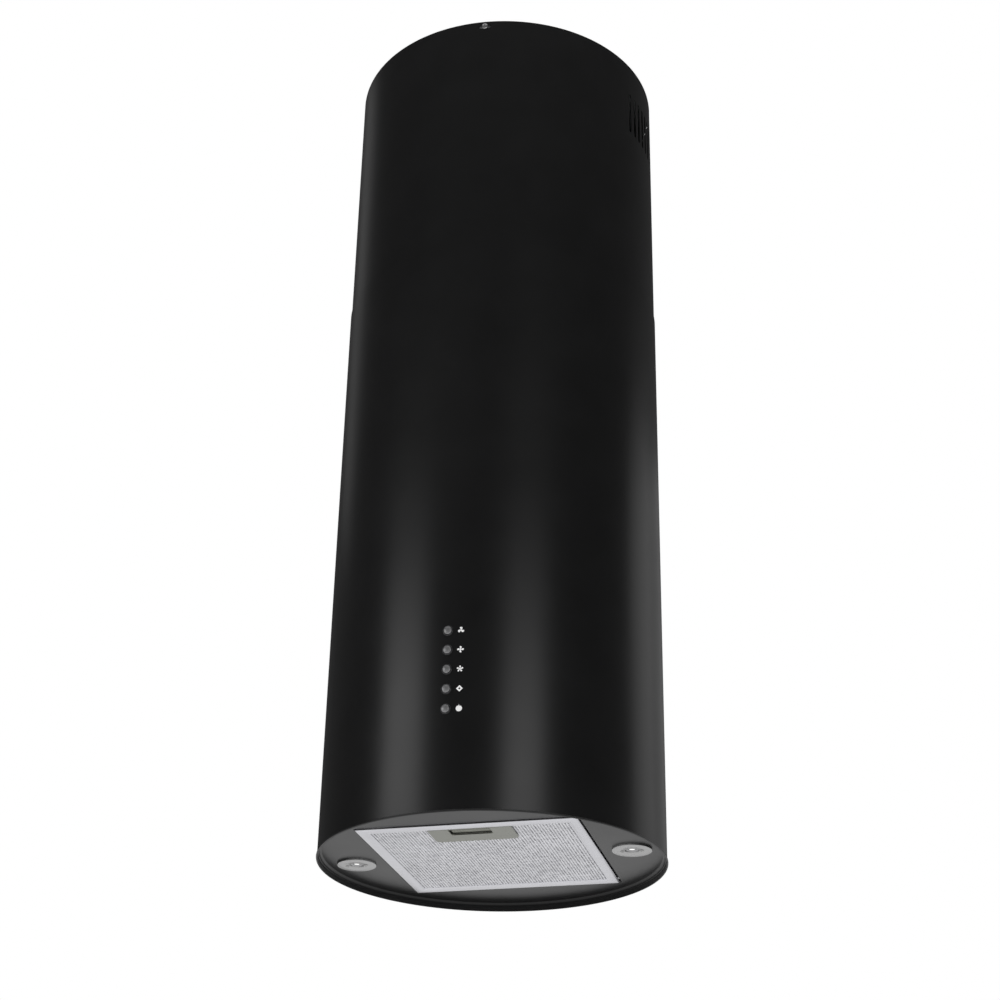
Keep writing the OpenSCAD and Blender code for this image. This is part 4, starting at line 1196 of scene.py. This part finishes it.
@dataclass
class ButtonBank:
    """The five push buttons, their rings, and the signs printed beside them."""

    crown: float = 0.5
    edge_r: float = 0.9
    sign_x: float = 9.0
    sign_r: float = 3.3
    print_t: float = 0.05

    def middles(self) -> dict[Symbol, Vector]:
        """Middle of each button."""
        return {s: Span.of(f"button_{s.value}").middle for s in Symbol}

    def axis(self, middle: Vector) -> Matrix:
        """An axis through a button, with its local Z along +Y."""
        return turned(middle.x, 0, middle.z, Vector((0, 1, 0)))

    def cap(self, symbol: Symbol, middle: Vector) -> None:
        """Makes one domed cap with its stem and collar."""
        span = Span.of(f"button_{symbol.value}")
        face, back = span.low.y, span.high.y
        collar = span.size.x / 2
        r, e = collar - 1.2, self.edge_r
        dome = [((r - e) * k / 6, face + self.crown * (k / 6) ** 2) for k in range(6)]
        edge = arc((r - e, face + self.crown + e), e, -90, 0, 8)
        profile = [*dome, *edge, (r, back - 1), (collar - 0.2, back - 1), (collar, back - 0.8),
                   (collar, back), (0, back)]
        draft = Draft().lathe(profile, self.axis(middle), steps=64, ring=False)
        settle(draft.build(f"cap_{symbol.value}", 40), f"key_{symbol.value}", FINISHES["button_metal"],
               f"button_{symbol.value}")

    def rings(self) -> None:
        """Makes the rings round the caps."""
        span = Span.of("button_rings")
        face, back = span.low.y, span.high.y
        outer = span.size.x / 2
        bore, sleeve = outer - 0.8, outer - 0.45
        profile = [(bore, face + 0.5), (bore + 0.15, face + 0.3), (outer - 0.25, face),
                   (outer - 0.1, face + 0.05), (outer, face + 0.2), (outer, face + 1), (sleeve, face + 1),
                   (sleeve, back), (bore, back)]
        draft = Draft()
        for middle in self.middles().values():
            draft.lathe(profile, self.axis(middle), steps=56)
        settle(draft.build("cap_rings", 40), "hood", FINISHES["satin_chrome"], "button_rings")

    def blade(self, turn: float, size: float, count: int) -> Loop:
        """Outline of one comma-shaped fan blade, turned round the sign's middle."""
        spread = 3.3 / count
        shape = ((0.14, -60), (0.34, -42), (0.6, -36), (0.84, -27), (0.98, -10), (1.0, 8), (0.9, 24),
                 (0.72, 27), (0.52, 16), (0.34, 8), (0.16, 20))
        turns = [(size * r, math.radians(turn + a * spread)) for r, a in shape]
        return [(r * math.cos(t), r * math.sin(t)) for r, t in turns]

    def outlines(self, symbol: Symbol) -> list[tuple[Loop, list[Loop]]]:
        """Printed areas of a sign, each with its holes."""
        r = self.sign_r
        if symbol is Symbol.POWER:
            ring = arc((0, 0), r * 0.92, 125, 415, 30) + arc((0, 0), r * 0.66, 415, 125, 30)
            return [(ring, []), (rounded_box((-r * 0.14, r * 0.1), (r * 0.14, r * 1.05), [0.1] * 4, 3), [])]
        if symbol is Symbol.LIGHT:
            star = [(reach, math.radians(90 * i + lag)) for i in range(4)
                    for reach, lag in ((r, 0), (r * 0.66, 32), (r * 0.66, 58))]
            rays = [(reach * math.cos(t), reach * math.sin(t)) for reach, t in star]
            return [(rays, [circle((0, 0), r * 0.3, 20)])]
        count = {Symbol.LOW: 3, Symbol.MEDIUM: 4, Symbol.HIGH: 5}[symbol]
        areas = [(self.blade(90 + i * 360 / count, r, count), []) for i in range(count)]
        return [*areas, (circle((0, 0), r * 0.17, 14), [])]

    def signs(self) -> None:
        """Makes the printed signs, which follow the round of the tube. The white print also glows a little,
        painted light that brightens it.
        """
        radius = Span.of("lower_tube").high.x - 1
        draft = Draft()
        for symbol, middle in self.middles().items():
            def shape(u: float, v: float, d: float, z: float = middle.z) -> Vector:
                """Lays a point of the sign on the tube beside its button."""
                turn = -math.pi / 2 + (self.sign_x + u) / radius
                return Vector((d * math.cos(turn), d * math.sin(turn), z + v))
            for outline, holes in self.outlines(symbol):
                draft.sheet(outline, holes, (radius - 0.02, radius + self.print_t), shape)
        settle(draft.build("button_signs"), "hood", SIGN_PRINT_PAINTED_GLOW)

    def make(self) -> None:
        """Makes caps, rings and signs."""
        for symbol, middle in self.middles().items():
            self.cap(symbol, middle)
        self.rings()
        self.signs()


# ---------------------------------------------------------------- grease filter


@dataclass
class GreaseFilter:
    """The hinged square filter: frame, three layers of mesh, handle plate, latch and pivots."""

    border: float = 10.0
    wall: float = 0.8
    face_w: float = 10.3
    slope: float = 1.5
    chamfer: float = 1.2
    strand: float = 1.7
    strand_t: float = 0.4
    mouth: tuple[float, float, float] = (20.5, 1.5, 17.5)
    pocket_half: float = 26.5
    pocket_d: float = 24.0
    plate_more: float = 2.0
    span: Span = field(default_factory=lambda: Span.of("filter_frame"))

    def frame_piece(self) -> None:
        """Makes the mitred channel frame with its slot for the latch."""
        low, high, b, w = self.span.low.z, self.span.high.z, self.border, self.wall
        s = self.slope
        f, c, e = self.face_w, self.chamfer, self.face_w + 1.2
        profile = [(0, low + c), (c * 0.9, low + 0.05), (c + 0.4, low), (f - 3.0, low), (f - 2.7, low + 0.06),
                   (f, low + 0.25), (f + 0.3, low + 0.45), (e, low + s), (e, low + s + 0.5),
                   (e - 0.8, low + s + 0.3),
                   (f - 0.2, low + w + 0.2), (w + 0.8, low + w + 0.2), (w, low + c + w), (w, high - w),
                   (b, high - w), (b, high), (0.7, high), (0, high - 0.7)]
        draft = Draft().mitred(profile, tuple(self.span.low.xy), tuple(self.span.high.xy))
        piece = draft.build("filter_channel", 20)
        tongue = Span.of("filter_latch")
        y, gap = self.span.low.y, 0.4
        tool = Draft().block((tongue.middle.x - 11 - gap, y - 1, tongue.high.z - 1.6 - gap),
                             (tongue.middle.x + 11 + gap, y + w + 0.6, tongue.high.z + gap))
        cut_away(piece, tool.build("latch slot tool"))
        settle(piece, "filter", FINISHES["filter_aluminium"], "filter_frame")

    def bond(self, pitch: Point) -> bpy.types.Object:
        """Draws one bond of expanded metal, with half of each of its four strands."""
        ax, ay = pitch[0] / 4, pitch[1] / 4
        length = math.hypot(ax, ay)
        nx, ny = ay / length * self.strand / 2, ax / length * self.strand / 2
        lift = self.strand_t * 0.5
        outline: list[tuple[float, float, float]] = []
        notch_x, notch_y = self.strand / 2 / (ay / length), self.strand / 2 / (ax / length)
        for sx, sy in ((1, 1), (-1, 1), (-1, -1), (1, -1)):
            ends = [(sx * (ax + nx), sy * (ay - ny), 0.0), (sx * (ax - nx), sy * (ay + ny), 0.0)]
            outline += ends if sx * sy > 0 else ends[::-1]
            outline.append((0, sy * notch_y, sy * lift) if sx * sy > 0 else (sx * notch_x, 0, 0.0))
        draft = Draft()
        rows, t = [], self.strand_t / 2
        for side in (-1, 1):
            ring = [draft.corner(Vector((x, y, z + side * t))) for x, y, z in outline]
            rows.append((draft.corner(Vector((0, 0, side * t))), ring))
        for (centre, ring) in rows:
            draft.bridge([centre], ring)
        draft.bridge(rows[0][1], rows[1][1])
        return draft.build("seed", 5)

    def layer(self, name: str, node: str, pitch: Point, z: float, wave: float, seed: int) -> None:
        """Makes one layer of expanded mesh.

        Args:
            name: Name of the piece.
            node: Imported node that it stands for.
            pitch: Long and short pitch of the diamonds.
            z: Height of the layer's middle.
            wave: Height of its pleats.
            seed: Seed of its small irregularities.
        """
        reach = self.border - 1.0
        size = self.span.size
        columns = int((size.x - 2 * reach) / pitch[0]) + 1
        rows = int((size.y - 2 * reach) / pitch[1]) + 1
        pocket = Span.of("filter_handle")
        half = self.pocket_half + pitch[0] / 2
        low = Vector((pocket.middle.x - half, self.span.low.y - 1, z))
        high = Vector((pocket.middle.x + half, pocket.low.y + self.pocket_d + pitch[1] / 2, z))
        middle = self.span.middle
        piece = stagger_rule().grow(
            self.bond(pitch), name, FINISHES["mesh_aluminium"],
            Pitch_X=pitch[0] * MM, Pitch_Y=pitch[1] * MM, Columns=columns, Rows=rows,
            Centre=Vector((middle.x, middle.y, z)) * MM, Gap_Low=low * MM, Gap_High=high * MM,
            Jitter=0.08, Seed=seed, Wave=wave * MM, Wave_Length=14 * MM)
        settle(piece, "filter", FINISHES["mesh_aluminium"], node)

    def handle(self) -> None:
        """Makes the plate round the finger recess and the pocket behind it."""
        span = Span.of("filter_handle")
        low, y0, cx = span.low.z, span.low.y, span.middle.x
        t, (half_w, front, rear) = 0.75, self.mouth
        corners = (cx - half_w, y0 + front), (cx + half_w, y0 + rear)
        rear_y = span.high.y + self.plate_more
        plate = rounded_box((span.low.x, y0 + 0.3), (span.high.x + 1, rear_y), [0.6, 0.6, 5.5, 5.5], 8)
        draft = Draft()
        draft.sheet(plate, [rounded_box(*corners, [0.8, 0.8, 2.0, 2.0])], (low, low + t),
                    lambda u, v, d: Vector((u, v, d)))
        lip = [(0, low + 0.02), (-0.4, low - 0.2), (-0.9, low + 0.02), (-0.9, low + 0.3), (0, low + 1.2)]
        draft.mitred(lip, *corners)
        wall, top, half = 1.2, span.high.z, self.pocket_half
        back = y0 + self.pocket_d
        shelf = Span.of("filter_latch").high.z + 0.3
        draft.block((cx - half, y0, low + t), (cx - half + wall, back, top), 0.3)
        draft.block((cx + half - wall, y0, low + t), (cx + half, back, top), 0.3)
        draft.block((cx - half, back - wall, low + t), (cx + half, back, top), 0.3)
        draft.block((cx - half + wall, y0 + rear - 6, shelf), (cx + half - wall, back - wall, shelf + 0.8),
                    0.2)
        draft.block((cx - half, y0, top - wall), (cx + half, back, top), 0.3)
        settle(draft.build("filter_grip", 30), "filter", FINISHES["handle_grey"], "filter_handle")

    def latch(self) -> None:
        """Makes the slide: finger tray with a raised lip and ribs, apron behind it, and the tongue."""
        span = Span.of("filter_latch")
        low, high, cx = span.low.z, span.high.z, span.middle.x
        tray_front = Span.of("filter_handle").low.y + 1.8
        tray_back = span.high.y - 1
        half = span.size.x / 2
        draft = Draft()
        draft.block((cx - 11, span.low.y, high - 1.6), (cx + 11, span.high.y, high), 0.3)
        draft.block((cx - half, tray_front, low + 1.2), (cx + half, tray_back, high), 0.5, 3)
        draft.block((cx - half, tray_back - 2.2, low + 0.3), (cx + half, tray_back, high), 0.9, 4)
        draft.block((cx - half, tray_back - 1, low + 0.9), (cx + half, tray_back + 5.6, low + 1.8), 0.3)
        for i in range(3):
            y = tray_front + 2.0 + i * 1.6
            draft.block((cx - half + 2, y - 0.3, low + 0.85), (cx + half - 2, y + 0.3, low + 1.7), 0.25)
        settle(draft.build("filter_slide", 30), "latch", FINISHES["latch_grey"], "filter_latch")

    def pivots(self) -> None:
        """Makes the two pivot pins with their chamfered ends."""
        span = Span.of("filter_pivot_pins")
        r, length = span.size.z / 2, 7.6
        draft = Draft()
        for s in (-1, 1):
            at = turned(s * span.high.x, span.middle.y, span.middle.z, Vector((-s, 0, 0)))
            draft.lathe([(0, 0), (r - 0.4, 0), (r, 0.4), (r, length), (0, length)], at, 32, ring=False)
        settle(draft.build("filter_pivots", 30), "filter", FINISHES["bright_steel"], "filter_pivot_pins")

    def make(self) -> None:
        """Makes every piece of the filter."""
        self.frame_piece()
        low, high = self.span.low.z, self.span.high.z
        self.layer("filter_mesh_face", "filter_mesh_lower", (6.1, 3.6), low + self.slope + 0.35, 0.0, 3)
        self.layer("filter_mesh_pleats", "filter_mesh_core", (7.4, 4.6), (low + high) / 2 + 1.2, 1.0, 5)
        self.layer("filter_mesh_back", "filter_mesh_upper", (8.4, 5.6), high - 1.6, 0.0, 8)
        self.handle()
        self.latch()
        self.pivots()


# ---------------------------------------------------------------- frame and blower


@dataclass
class FrameFasteners:
    """Bolts and screws that hold struts, trays and ceiling plate together."""

    leg: float = 20.0
    sheet: float = 1.5

    def corners(self, x: float, y: float, z: float) -> list[Vector]:
        """The same point in each of the four corners."""
        return [Vector((sx * x, sy * y, z)) for sx in (-1, 1) for sy in (-1, 1)]

    def clamp_bolts(self) -> None:
        """Makes the eight bolts that clamp the sliding struts."""
        span = Span.of("strut_clamp_bolts")
        seat = span.high.y - 3
        inner = Span.of("lower_struts").high.x - self.sheet
        x = inner - self.leg / 2 + 1
        bolt = Fastener(4.5, 3, 2.5, seat - inner + 6, hexagonal=True, nut_at=seat - inner, nut_h=4,
                        nut_r=4.5)
        low, high = span.low.z + 4.5, span.high.z - 4.5
        places = [(Vector((p.x, math.copysign(seat, p.y), z)), Vector((0, math.copysign(1, p.y), 0)), 17 * i)
                  for z in (low, high) for i, p in enumerate(self.corners(x, 1, 0))]
        settle(copies_at(bolt.draw("seed"), places, "strut_bolts", FINISHES["zinc_fasteners"]), "hood",
               FINISHES["zinc_fasteners"], "strut_clamp_bolts")

    def tray_screws(self) -> None:
        """Makes the eight screws between trays and struts."""
        span = Span.of("frame_screws")
        seat = span.high.x - 3 - 0.1
        y = span.high.y - 3.8
        screw = Fastener(3.8, 2, 2, 3.1)
        places = []
        for z in (span.low.z + 3.8, span.high.z - 3.8):
            for i, p in enumerate(self.corners(seat, y, z)):
                places.append((p, Vector((-math.copysign(1, p.x), 0, 0)), 31 * i))
        settle(copies_at(screw.draw("seed"), places, "tray_screws", FINISHES["zinc_fasteners"]), "hood",
               FINISHES["zinc_fasteners"], "frame_screws")

    def foot_screws(self) -> None:
        """Makes the four screws under the ceiling plate."""
        span = Span.of("strut_foot_screws")
        seat = span.low.z + 3
        reach = span.high.x - 4.75
        screw = Fastener(4.75, 3, 2.5, span.high.z - seat)
        places = [(p, Vector((0, 0, -1)), 20 * i) for i, p in enumerate(self.corners(reach, reach, seat))]
        zinc = FINISHES["zinc_fasteners"]
        settle(copies_at(screw.draw("seed"), places, "foot_screws", zinc), "ceiling_frame", zinc,
               "strut_foot_screws")

    def make(self) -> None:
        """Makes all the fasteners."""
        self.clamp_bolts()
        self.tray_screws()
        self.foot_screws()


@dataclass
class Fan:
    """The double-inlet impeller with its motor, shaft and guard."""

    blades: int = 32
    blade_t: float = 0.9
    ring_w: float = 12.0
    lean: float = 16.0
    wheel: Span = field(default_factory=lambda: Span.of("impeller"))

    def axle(self, x: float) -> Matrix:
        """A local Z axis along the shaft, starting at x."""
        return turned(x, self.wheel.middle.y, self.wheel.middle.z, Vector((1, 0, 0)))

    def blade(self, r0: float, r1: float) -> Loop:
        """Section of one forward-curved blade."""
        middle = [(r0 + (r1 - r0) * k / 8, self.lean * (k / 8) ** 2) for k in range(9)]
        sides: list[Loop] = []
        for s in (-1, 1):
            turns = [(r, math.radians(a) + s * self.blade_t / 2 / r) for r, a in middle]
            sides.append([(r * math.cos(t), r * math.sin(t)) for r, t in turns])
        return sides[0] + sides[1][::-1]

    def impeller(self) -> None:
        """Makes the wheel: two end rings, a middle disc, its hub and the blades."""
        r, half = self.wheel.size.y / 2, self.wheel.size.x / 2
        seed = Draft().prism(self.blade(r - self.ring_w + 0.6, r - 0.5), -half + 0.5, half - 0.5,
                             turned(0, 0, 0, Vector((1, 0, 0))))
        blades = polar_rule().grow(seed.build("seed", 40), "blades", FINISHES["grey_plastic"],
                                   Count=self.blades, Axis=Vector((1, 0, 0)), Centre=self.wheel.middle * MM)
        draft = Draft().absorb(blades)
        for low in (-half, half - 2):
            inner = r - self.ring_w
            draft.lathe([(inner, low), (r - 0.4, low), (r, low + 0.4), (r, low + 1.6), (r - 0.4, low + 2),
                         (inner, low + 2)], self.axle(0))
        hub = [(4.05, -14), (9.4, -14), (10, -13.4), (10, -3), (14, -1), (r - 0.4, -1), (r, 0),
               (r - 0.4, 1), (4.05, 1)]
        draft.lathe(hub, self.axle(0))
        settle(draft.build("fan_wheel", 30), "fan", FINISHES["grey_plastic"], "impeller")

    def shaft(self) -> None:
        """Makes the shaft with chamfered ends."""
        span = Span.of("motor_shaft")
        r, length = span.size.y / 2, span.size.x
        profile = [(0, 0), (r - 0.6, 0), (r, 0.6), (r, length - 0.6), (r - 0.6, length), (0, length)]
        draft = Draft().lathe(profile, self.axle(span.low.x), 32, ring=False)
        settle(draft.build("fan_shaft", 30), "fan", FINISHES["bright_steel"], "motor_shaft")

    def motor(self) -> None:
        """Makes the ribbed motor can."""
        span = Span.of("motor_body")
        rim = span.size.y / 2
        r, low, high, bore = rim - 3, span.low.x, span.high.x, 4.3
        profile: Loop = [(bore, low), (12, low), (13, low + 1.5), (r - 6, low + 1.5), (r - 4, low),
                         (r - 1.5, low + 0.4), (r, low + 2), (r, 24), (rim - 0.4, 24), (rim, 24.4),
                         (rim, 29.6), (rim - 0.4, 30), (r, 30)]
        x = 32.0
        while x + 4 < high - 3:
            profile += [(r, x), (r - 1.6, x + 0.5), (r - 1.6, x + 2.2), (r, x + 2.7)]
            x += 4
        profile += [(r, high - 2), (r - 2, high), (bore, high)]
        settle(Draft().lathe(profile, self.axle(0)).build("fan_motor", 30), "hood",
               FINISHES["motor_aluminium"], "motor_body")

    def guard(self) -> None:
        """Makes the wire guard over the open inlet."""
        span = Span.of("inlet_guard")
        wire, r = span.size.x / 2, span.size.y / 2 - 1
        seed = Draft().block((-wire, 7, -wire), (wire, r + 0.6, wire), wire * 0.8, 3)
        centre = Vector((span.middle.x, self.wheel.middle.y, self.wheel.middle.z))
        spokes = polar_rule().grow(seed.build("seed", 60), "spokes", FINISHES["zinc_fasteners"], Count=6,
                                   Axis=Vector((1, 0, 0)), Centre=centre * MM)
        draft = Draft().absorb(spokes)
        for k in range(4):
            draft.lathe(circle((r - 1.5 - 12 * k, 0), wire, 10), self.axle(span.middle.x), 72)
        boss = [(0, -wire), (7, -wire), (8, 0), (7, wire), (0, wire)]
        draft.lathe(boss, self.axle(span.middle.x), 40, ring=False)
        settle(draft.build("fan_guard", 50), "hood", FINISHES["galvanised_steel"], "inlet_guard")

    def make(self) -> None:
        """Makes wheel, shaft, motor and guard."""
        self.impeller()
        self.shaft()
        self.motor()
        self.guard()


@dataclass
class DuctParts:
    """The duct collar with its flap pin, and the capacitor beside it."""

    wall: float = 1.6
    flange_w: float = 13.0

    def collar(self) -> None:
        """Makes the collar with a bead for the duct clamp."""
        span = Span.of("outlet_collar")
        outer, low, top = span.high.x, span.low.z, span.high.z
        r = outer - self.flange_w
        inner = r - self.wall
        seat = Span.of("damper_pin").middle.z - 1.05
        foot = [(inner, low), (outer - 0.5, low), (outer, low + 0.5), (outer, low + 1.5),
                (outer - 0.5, low + 2), (r + 1.6, low + 2), (r + 0.5, low + 2.5), (r, low + 3.6)]
        bead = [(r, top - 9), (r + 0.6, top - 7.8), (r + 0.6, top - 6.8), (r, top - 5.6)]
        mouth = [(r - 0.3, top - 0.3), (r - 0.6, top), (inner + 0.2, top), (inner, top - 0.4)]
        stop = [(inner, seat), (inner - 3.4, seat), (inner - 3.4, seat - 2), (inner, seat - 2)]
        profile = [*foot, *bead, *mouth, *stop]
        settle(Draft().lathe(profile, steps=144).build("duct_collar", 30), "hood", FINISHES["black_plastic"],
               "outlet_collar")

    def capacitor(self) -> None:
        """Makes the motor capacitor with its crimped cover and two tabs."""
        span = Span.of("capacitor")
        r, low, top = span.size.x / 2, span.low.z, span.high.z - 8
        at = Matrix.Translation((span.middle.x, span.middle.y, 0))
        profile = [(0, low), (r - 1, low), (r, low + 1), (r, top - 3), (r - 0.5, top - 2.4), (r, top - 1.6),
                   (r, top - 0.5), (r - 0.5, top), (r - 1.5, top), (r - 1.8, top - 0.8), (0, top - 0.8)]
        draft = Draft().lathe(profile, at, 64, ring=False)
        for s in (-1, 1):
            draft.lathe([(0, top - 1), (2.6, top - 1), (2.6, top + 1), (2.0, top + 1.4), (0, top + 1.4)],
                        at @ Matrix.Translation((6 * s, 0, 0)), 24, ring=False)
            draft.block((6 * s - 0.4, -2, top + 1), (6 * s + 0.4, 2, span.high.z), 0.3, at=at)
        settle(draft.build("motor_capacitor", 30), "hood", FINISHES["white_plastic"], "capacitor")

    def make(self) -> None:
        """Makes collar and capacitor."""
        self.collar()
        self.capacitor()


@dataclass
class Electronics:
    """Boards and boxes behind the blower and above the lights."""

    board_t: float = 1.6

    def block_set(self, name: str, finish: str, blocks: Sequence[tuple[Vector, Vector]], edge: float,
                  *nodes: str) -> None:
        """Makes one piece out of several rounded blocks."""
        draft = Draft()
        for low, high in blocks:
            draft.block(low, high, edge)
        settle(draft.build(name, 35), "hood", FINISHES[finish], *nodes)

    def control_board(self) -> None:
        """Makes the board with its transformer, relays, capacitors and connectors."""
        span = Span.of("control_board")
        x0, z0, front = span.low.x, span.low.z, span.low.y + 6

        def at(x: float, z: float, w: float, h: float, depth: float) -> tuple[Vector, Vector]:
            """The two corners of a part that stands on the board."""
            y = front + self.board_t - 0.2
            return Vector((x0 + x, y, z0 + z)), Vector((x0 + x + w, y + depth, z0 + z + h))
        plate = (Vector((x0, front, z0)), Vector((span.high.x, front + self.board_t, span.high.z)))
        self.block_set("board_plate", "circuit_board", [plate], 0.2, "control_board")
        posts = [(Vector((x - 2, front - 6, z - 2)), Vector((x + 2, front + 0.2, z + 2)))
                 for x in (x0 + 6, span.high.x - 8) for z in (z0 + 3, span.high.z - 4)]
        self.block_set("board_posts", "white_plastic", posts, 0.4)
        self.block_set("board_transformer", "dark_plastic", [at(6, 6, 28, 24, 18.4)], 1.2)
        relays = [at(44 + 20 * i, 6, 14, 18, 15.4) for i in (0, 1)]
        self.block_set("board_relays", "black_plastic", relays, 0.8)
        self.block_set("board_connectors", "ivory_plastic",
                       [at(84, 6, 12, 36, 10.4), *[at(10 + 14 * i, 56, 10, 8, 7) for i in range(4)]], 0.5)
        draft = Draft()
        for i in range(4):
            middle = Vector((x0 + 42 + 9 * i, front + self.board_t - 0.2, z0 + 38))
            draft.lathe([(0, 0), (3.2, 0), (3.4, 0.8), (3.4, 10), (3.0, 10.5), (0, 10.3)],
                        turned(*middle, Vector((0, 1, 0))), 24, ring=False)
        settle(draft.build("board_capacitors", 35), "hood", FINISHES["grey_plastic"])

    def led_driver(self) -> None:
        """Makes the driver box with its two ears and its ribbed lid."""
        span = Span.of("led_driver")
        low, high = span.low, span.high
        mid = span.middle
        blocks = [(Vector((mid.x - 45, low.y, low.z)), Vector((mid.x + 45, high.y, high.z - 1))),
                  (Vector((mid.x - 43, low.y + 2, high.z - 2)), Vector((mid.x + 43, high.y - 2, high.z)))]
        blocks += [(Vector((mid.x + s - 6, low.y + 6, low.z)), Vector((mid.x + s + 6, high.y - 6, low.z + 2)))
                   for s in (-50, 50)]
        blocks += [(Vector((mid.x - 38 + 8 * i, low.y + 5, high.z - 0.6)),
                    Vector((mid.x - 36 + 8 * i, high.y - 5, high.z + 0.3))) for i in range(10)]
        self.block_set("driver_box", "white_plastic", blocks, 0.8, "led_driver")

    def make(self) -> None:
        """Makes board and driver."""
        self.control_board()
        self.led_driver()


# ---------------------------------------------------------------- studio


@dataclass(frozen=True)
class Softbox:
    """One rectangular studio light, aimed at the hood's axis."""

    name: str
    bearing: float
    distance: float
    height: float
    width: float
    tall: float
    power: float
    tilt_to: float

    def place(self) -> None:
        """Puts the light into the scene."""
        lamp = bpy.data.lights.new(self.name, "AREA")
        lamp.shape = "RECTANGLE"
        lamp.size, lamp.size_y, lamp.energy = self.width, self.tall, self.power
        holder = bpy.data.objects.new(self.name, lamp)
        bpy.context.scene.collection.objects.link(holder)
        t = math.radians(self.bearing)
        holder.location = (self.distance * math.cos(t), self.distance * math.sin(t), self.height)
        aim = Vector((0, 0, self.tilt_to)) - holder.location
        holder.rotation_euler = aim.to_track_quat("-Z", "Y").to_euler()
        holder.visible_camera = False


@dataclass
class Studio:
    """Pale floor, white surroundings, soft lights and the camera."""

    floor_z: float = -1.95
    floor_half: float = 14.0
    camera_at: Vector = field(default_factory=lambda: Vector((0.4571, -1.7957, -1.4821)))
    lens: float = 68.165
    pitch: float = 27.23
    turn: float = 14.26
    roll: float = 1.14
    lights: tuple[Softbox, ...] = (
        Softbox("left strip", -136, 2.0, -0.3, 1.0, 0.7, 4.3, -0.7),
        Softbox("front strip", -58, 2.3, -0.3, 1.0, 0.7, 4.8, -0.7),
        Softbox("upper front panel", -112, 2.2, 0.6, 1.5, 0.9, 0.22, -0.4),
        Softbox("right panel", 40, 2.2, -0.05, 1.1, 1.3, 2.3, -0.5),
        Softbox("rear right panel", 70, 2.2, -0.05, 1.0, 1.3, 0.95, -0.5),
        Softbox("rear left panel", 150, 2.4, 1.2, 0.8, 1.2, 0.6, -0.2),
    )
    sky_strength: float = 1.0
    sky_angle: float = 70
    floor_glow: float = 0.44

    def camera(self) -> None:
        """Sets up the camera."""
        p, a, r = (math.radians(v) for v in (self.pitch, self.turn, self.roll))
        turn = Matrix.Rotation(a, 3, "Z")
        ahead = turn @ Vector((0, math.cos(p), math.sin(p)))
        right = turn @ Vector((1, 0, 0))
        above = turn @ Vector((0, -math.sin(p), math.cos(p)))
        rolled = math.cos(r) * right + math.sin(r) * above
        raised = math.cos(r) * above - math.sin(r) * right
        data = bpy.data.cameras.new("camera")
        data.lens, data.sensor_width = self.lens, 36.0
        data.clip_start = 0.05
        holder = bpy.data.objects.new("camera", data)
        bpy.context.scene.collection.objects.link(holder)
        basis = Matrix((rolled, raised, -ahead)).transposed().to_4x4()
        holder.matrix_world = Matrix.Translation(self.camera_at) @ basis
        bpy.context.scene.camera = holder

    def floor(self) -> None:
        """Lays the pale floor."""
        half = self.floor_half
        mesh = bpy.data.meshes.new("floor")
        mesh.from_pydata([(-half, -half, self.floor_z), (half, -half, self.floor_z),
                          (half, half, self.floor_z), (-half, half, self.floor_z)], [], [(0, 1, 2, 3)])
        ground = enlist("floor", mesh)
        pale = Finish("pale_floor", (0.8, 0.8, 0.8), 0.6, Grain.PLAIN, mottle=0.01, relief=0.0,
                      glow=self.floor_glow).material()
        nodes, links = pale.node_tree.nodes, pale.node_tree.links
        below = nodes.new("ShaderNodeNewGeometry").outputs["Backfacing"]
        clear = nodes.new("ShaderNodeBsdfTransparent").outputs[0]
        mix = nodes.new("ShaderNodeMixShader")
        links.new(below, mix.inputs[0])
        links.new(nodes["Principled BSDF"].outputs[0], mix.inputs[1])
        links.new(clear, mix.inputs[2])
        links.new(mix.outputs[0], nodes["Material Output"].inputs["Surface"])
        ground.data.materials.append(pale)

    def surroundings(self) -> None:
        """Makes the surroundings white to the eye and dim to the surfaces."""
        world = bpy.data.worlds.new("surroundings")
        bpy.context.scene.world = world
        world.use_nodes = True
        nodes, links = world.node_tree.nodes, world.node_tree.links
        seen = nodes.new("ShaderNodeLightPath").outputs["Is Camera Ray"]
        strength = nodes.new("ShaderNodeMapRange")
        strength.inputs["To Min"].default_value = 0.06
        strength.inputs["To Max"].default_value = 1.0
        links.new(seen, strength.inputs["Value"])
        nodes["Background"].inputs["Color"].default_value = (1, 1, 1, 1)
        links.new(strength.outputs["Result"], nodes["Background"].inputs["Strength"])

    def sky(self) -> None:
        """Lights everything evenly from straight above."""
        lamp = bpy.data.lights.new("sky", "SUN")
        lamp.energy = self.sky_strength
        lamp.angle = math.radians(self.sky_angle)
        bpy.context.scene.collection.objects.link(bpy.data.objects.new("sky", lamp))

    def make(self) -> None:
        """Sets up camera, floor, surroundings and lights."""
        self.camera()
        self.floor()
        self.surroundings()
        self.sky()
        for light in self.lights:
            light.place()
        bpy.context.scene.view_settings.view_transform = "Standard"


# ---------------------------------------------------------------- everything together


def dress_packed_nodes() -> None:
    """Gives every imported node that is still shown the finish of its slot."""
    slots = {part["node"]: part["material_slot"] for part in frame["record"]["subparts"]}
    for node, shown in frame["nodes"].items():
        if shown.hide_render:
            continue
        finish = FINISHES[slots[node]]
        shown.data.materials.clear()
        shown.data.materials.append(finish.material())
        LOG.info("%-24s keeps its packed shape  %s", node, finish.slot)


def main() -> None:
    """Builds the hood's pieces in order."""
    logging.basicConfig(level=logging.INFO, format="%(message)s")
    Studio().make()
    bank = ButtonBank()
    Chimney().make()
    HoodShell().make(list(bank.middles().values()))
    BasePanel().make(Span.of("led_bezel_right").middle.x)
    for side in ("left", "right"):
        SpotLight(side).make()
    light_screws()
    bank.make()
    GreaseFilter().make()
    FrameFasteners().make()
    Fan().make()
    DuctParts().make()
    Electronics().make()
    dress_packed_nodes()


if __name__ == "__main__":
    main()
